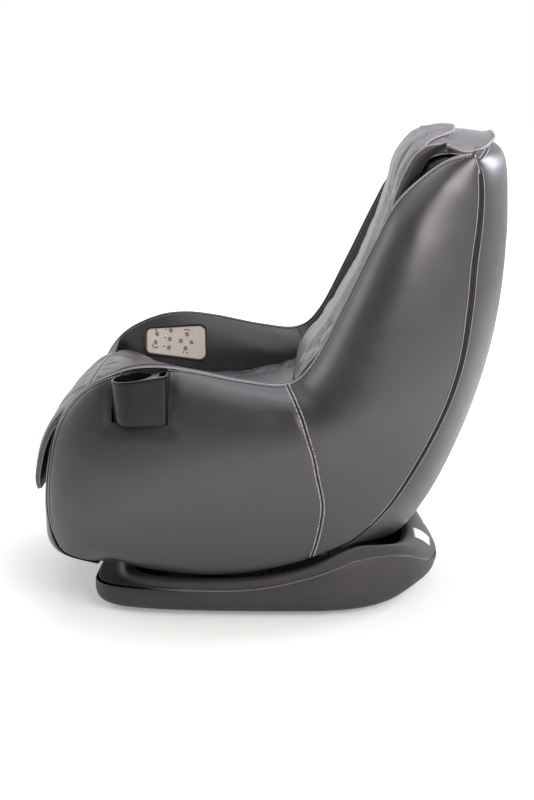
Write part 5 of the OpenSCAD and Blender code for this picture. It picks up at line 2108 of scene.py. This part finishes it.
# ---- studio --------------------------------------------------------------------------------------
@dataclass
class Studio:
    """White backdrop and floor, soft lamps and the camera."""

    eye: tuple[float, float, float] = (3.0339, 0.1564, 1.1688)
    pitch: float = 14.445
    yaw: float = 3.177
    lens: float = 65.16
    room_sky: tuple[tuple[float, float], ...] = ((0.0, 1.0), (0.05, 0.3), (0.35, 0.2), (0.6, 0.12))
    backdrop_sky: tuple[tuple[float, float], ...] = ((0.03, 1.0), (0.2, 1.0), (0.5, 0.45), (0.8, 0.3))

    def lamp(self, name: str, place: Sequence[float], aim: Sequence[float], size: Sequence[float],
             power: float, tint: str = "ffffff") -> None:
        """A rectangular soft lamp aimed at a point, with its power in watts and its tint.

        Args:
            name: Name of the lamp.
            place: Its middle, in metres.
            aim: The point that it faces.
            size: Its width and height.
            power: Its power in watts.
            tint: Its colour as sRGB hex.
        """
        data = bpy.data.lights.new(name, "AREA")
        data.shape = "RECTANGLE"
        data.size, data.size_y = size
        data.energy = power
        data.color = linear(tint)[:3]
        obj = bpy.data.objects.new(name, data)
        obj.location = place
        obj.rotation_euler = (Vector(aim) - Vector(place)).to_track_quat("-Z", "Y").to_euler()
        obj.visible_camera = False
        bpy.context.scene.collection.objects.link(obj)

    def world(self) -> None:
        """White backdrop beyond the chair and a dim room overhead and on the camera's side."""
        world = bpy.data.worlds.new("studio")
        bpy.context.scene.world = world
        world.use_nodes = True
        tree = world.node_tree
        tree.nodes.clear()
        coords = add(tree, "ShaderNodeTexCoord").outputs["Generated"]
        way = add(tree, "ShaderNodeSeparateXYZ", {"Vector": coords}).outputs
        behind = remapped(tree, way["X"], (0.8, 0.15), (0, 1), interpolation_type="SMOOTHSTEP")
        room, backdrop = (
            ramp(tree, way["Z"], *((height, (grey, grey, grey, 1)) for height, grey in stops))
            for stops in (self.room_sky, self.backdrop_sky)
        )
        shade = add(tree, "ShaderNodeMixRGB", {"Fac": behind, "Color1": room, "Color2": backdrop})
        background = add(tree, "ShaderNodeBackground", {"Color": shade.outputs["Color"], "Strength": 1.0})
        add(tree, "ShaderNodeOutputWorld", {"Surface": background.outputs["Background"]})

    def floor(self) -> None:
        """A wide matt white floor that glows to the lens and takes the chair's shadow. Its glow is weaker
        within about 1.25 m of the chair, a painted shade round it on top of the real shadow, and halves on
        the camera's side.
        """
        bm = bmesh.new()
        bmesh.ops.create_grid(bm, x_segments=2, y_segments=2, size=14)
        mesh = bpy.data.meshes.new("studio_floor")
        bm.to_mesh(mesh)
        bm.free()
        obj = bpy.data.objects.new("studio_floor", mesh)
        bpy.context.scene.collection.objects.link(obj)
        made = bpy.data.materials.new("matt_white_floor")
        made.use_nodes = True
        tree = made.node_tree
        tree.nodes.clear()
        surface = add(tree, "ShaderNodeBsdfPrincipled",
                      {"Base Color": linear("f2f2f0"), "Roughness": 0.75, "Specular IOR Level": 0.2})
        coords = add(tree, "ShaderNodeTexCoord").outputs["Object"]
        far = add(tree, "ShaderNodeVectorMath", {0: coords}, operation="LENGTH").outputs["Value"]
        # The glow fades towards the chair: painted shade on the floor round it.
        glow_shaded_near_chair = remapped(tree, far, (0.42, 1.25), (0.26, 0.9), interpolation_type="SMOOTHSTEP")
        across = add(tree, "ShaderNodeSeparateXYZ", {"Vector": coords}).outputs["X"]
        white = combined(tree, "MULTIPLY", glow_shaded_near_chair, remapped(tree, across, (1.1, 2.4), (1.0, 0.5)))
        ray = add(tree, "ShaderNodeLightPath").outputs
        mirrored = combined(tree, "MULTIPLY", ray["Is Glossy Ray"], 0.5)
        first = combined(tree, "MAXIMUM", ray["Is Camera Ray"], mirrored)
        seen = combined(tree, "MAXIMUM", first, ray["Is Transmission Ray"])
        glow = combined(tree, "MULTIPLY", seen, white)
        light = add(tree, "ShaderNodeEmission", {"Color": (1, 1, 1, 1), "Strength": glow})
        both = add(tree, "ShaderNodeAddShader", {0: surface.outputs["BSDF"], 1: light.outputs["Emission"]})
        add(tree, "ShaderNodeOutputMaterial", {"Surface": both.outputs["Shader"]})
        mesh.materials.append(made)

    def build(self) -> None:
        """Set up the camera, the light and the floor."""
        scene = bpy.context.scene
        scene.view_settings.view_transform = "Standard"
        data = bpy.data.cameras.new("camera")
        data.lens = self.lens
        data.sensor_width = 36
        data.clip_end = 60
        camera = bpy.data.objects.new("camera", data)
        level, drop = round_at(self.pitch)
        across, along_y = round_at(self.yaw)
        forward = -Vector((across * level, along_y * level, drop))
        camera.location = self.eye
        camera.rotation_euler = forward.to_track_quat("-Z", "Y").to_euler()
        scene.collection.objects.link(camera)
        scene.camera = camera
        self.world()
        self.floor()
        self.lamp("overhead", (-0.8, 0.0, 2.6), (0, 0, 0.3), (2.4, 2.4), 27, "f6f3ff")
        self.lamp("side_bank", (2.5, 1.95, 2.0), (0.2, 0.3, 0.78), (2.8, 1.5), 92, "fff9f6")
        self.lamp("boom_box", (0.35, -0.15, 1.6), (-0.25, -0.1, 0.45), (0.9, 1.1), 3.4)
        self.lamp("front_bank", (0.2, -2.7, 1.9), (0, 0, 0.5), (1.6, 1.6), 18)
        self.lamp("rear_bank", (-1.5, 2.7, 1.75), (0.1, 0.4, 0.85), (1.4, 0.8), 42, "eceeff")


def main(nodes: dict[str, Object]) -> None:
    """Build the studio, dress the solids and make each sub-assembly.

    Args:
        nodes: The frame's solids by name.
    """
    logging.basicConfig(level=logging.INFO, format="%(message)s")
    Studio().build()
    Hardware().dress(nodes)
    cup, panel = CupHolder(), ControlPanel()
    sides, skins = SidePanels(), BowedSkins()
    meshes = sides.build(cup, panel) | skins.build()
    log.info("upholstered shell: %d pieces", len(meshes))
    Zips().build(sides, skins, meshes)
    seat, back = seat_pad(), back_pad()
    for pad in (seat, back):
        pad.build()
        log.info("pad: %s", pad.name)
    FoldedLining().build(back)
    BaseShells().build()
    cup.build()
    panel.build()
    log.info("base, cup holder and control panel")


if __name__ == "__main__":
    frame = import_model()
    main(frame["nodes"])
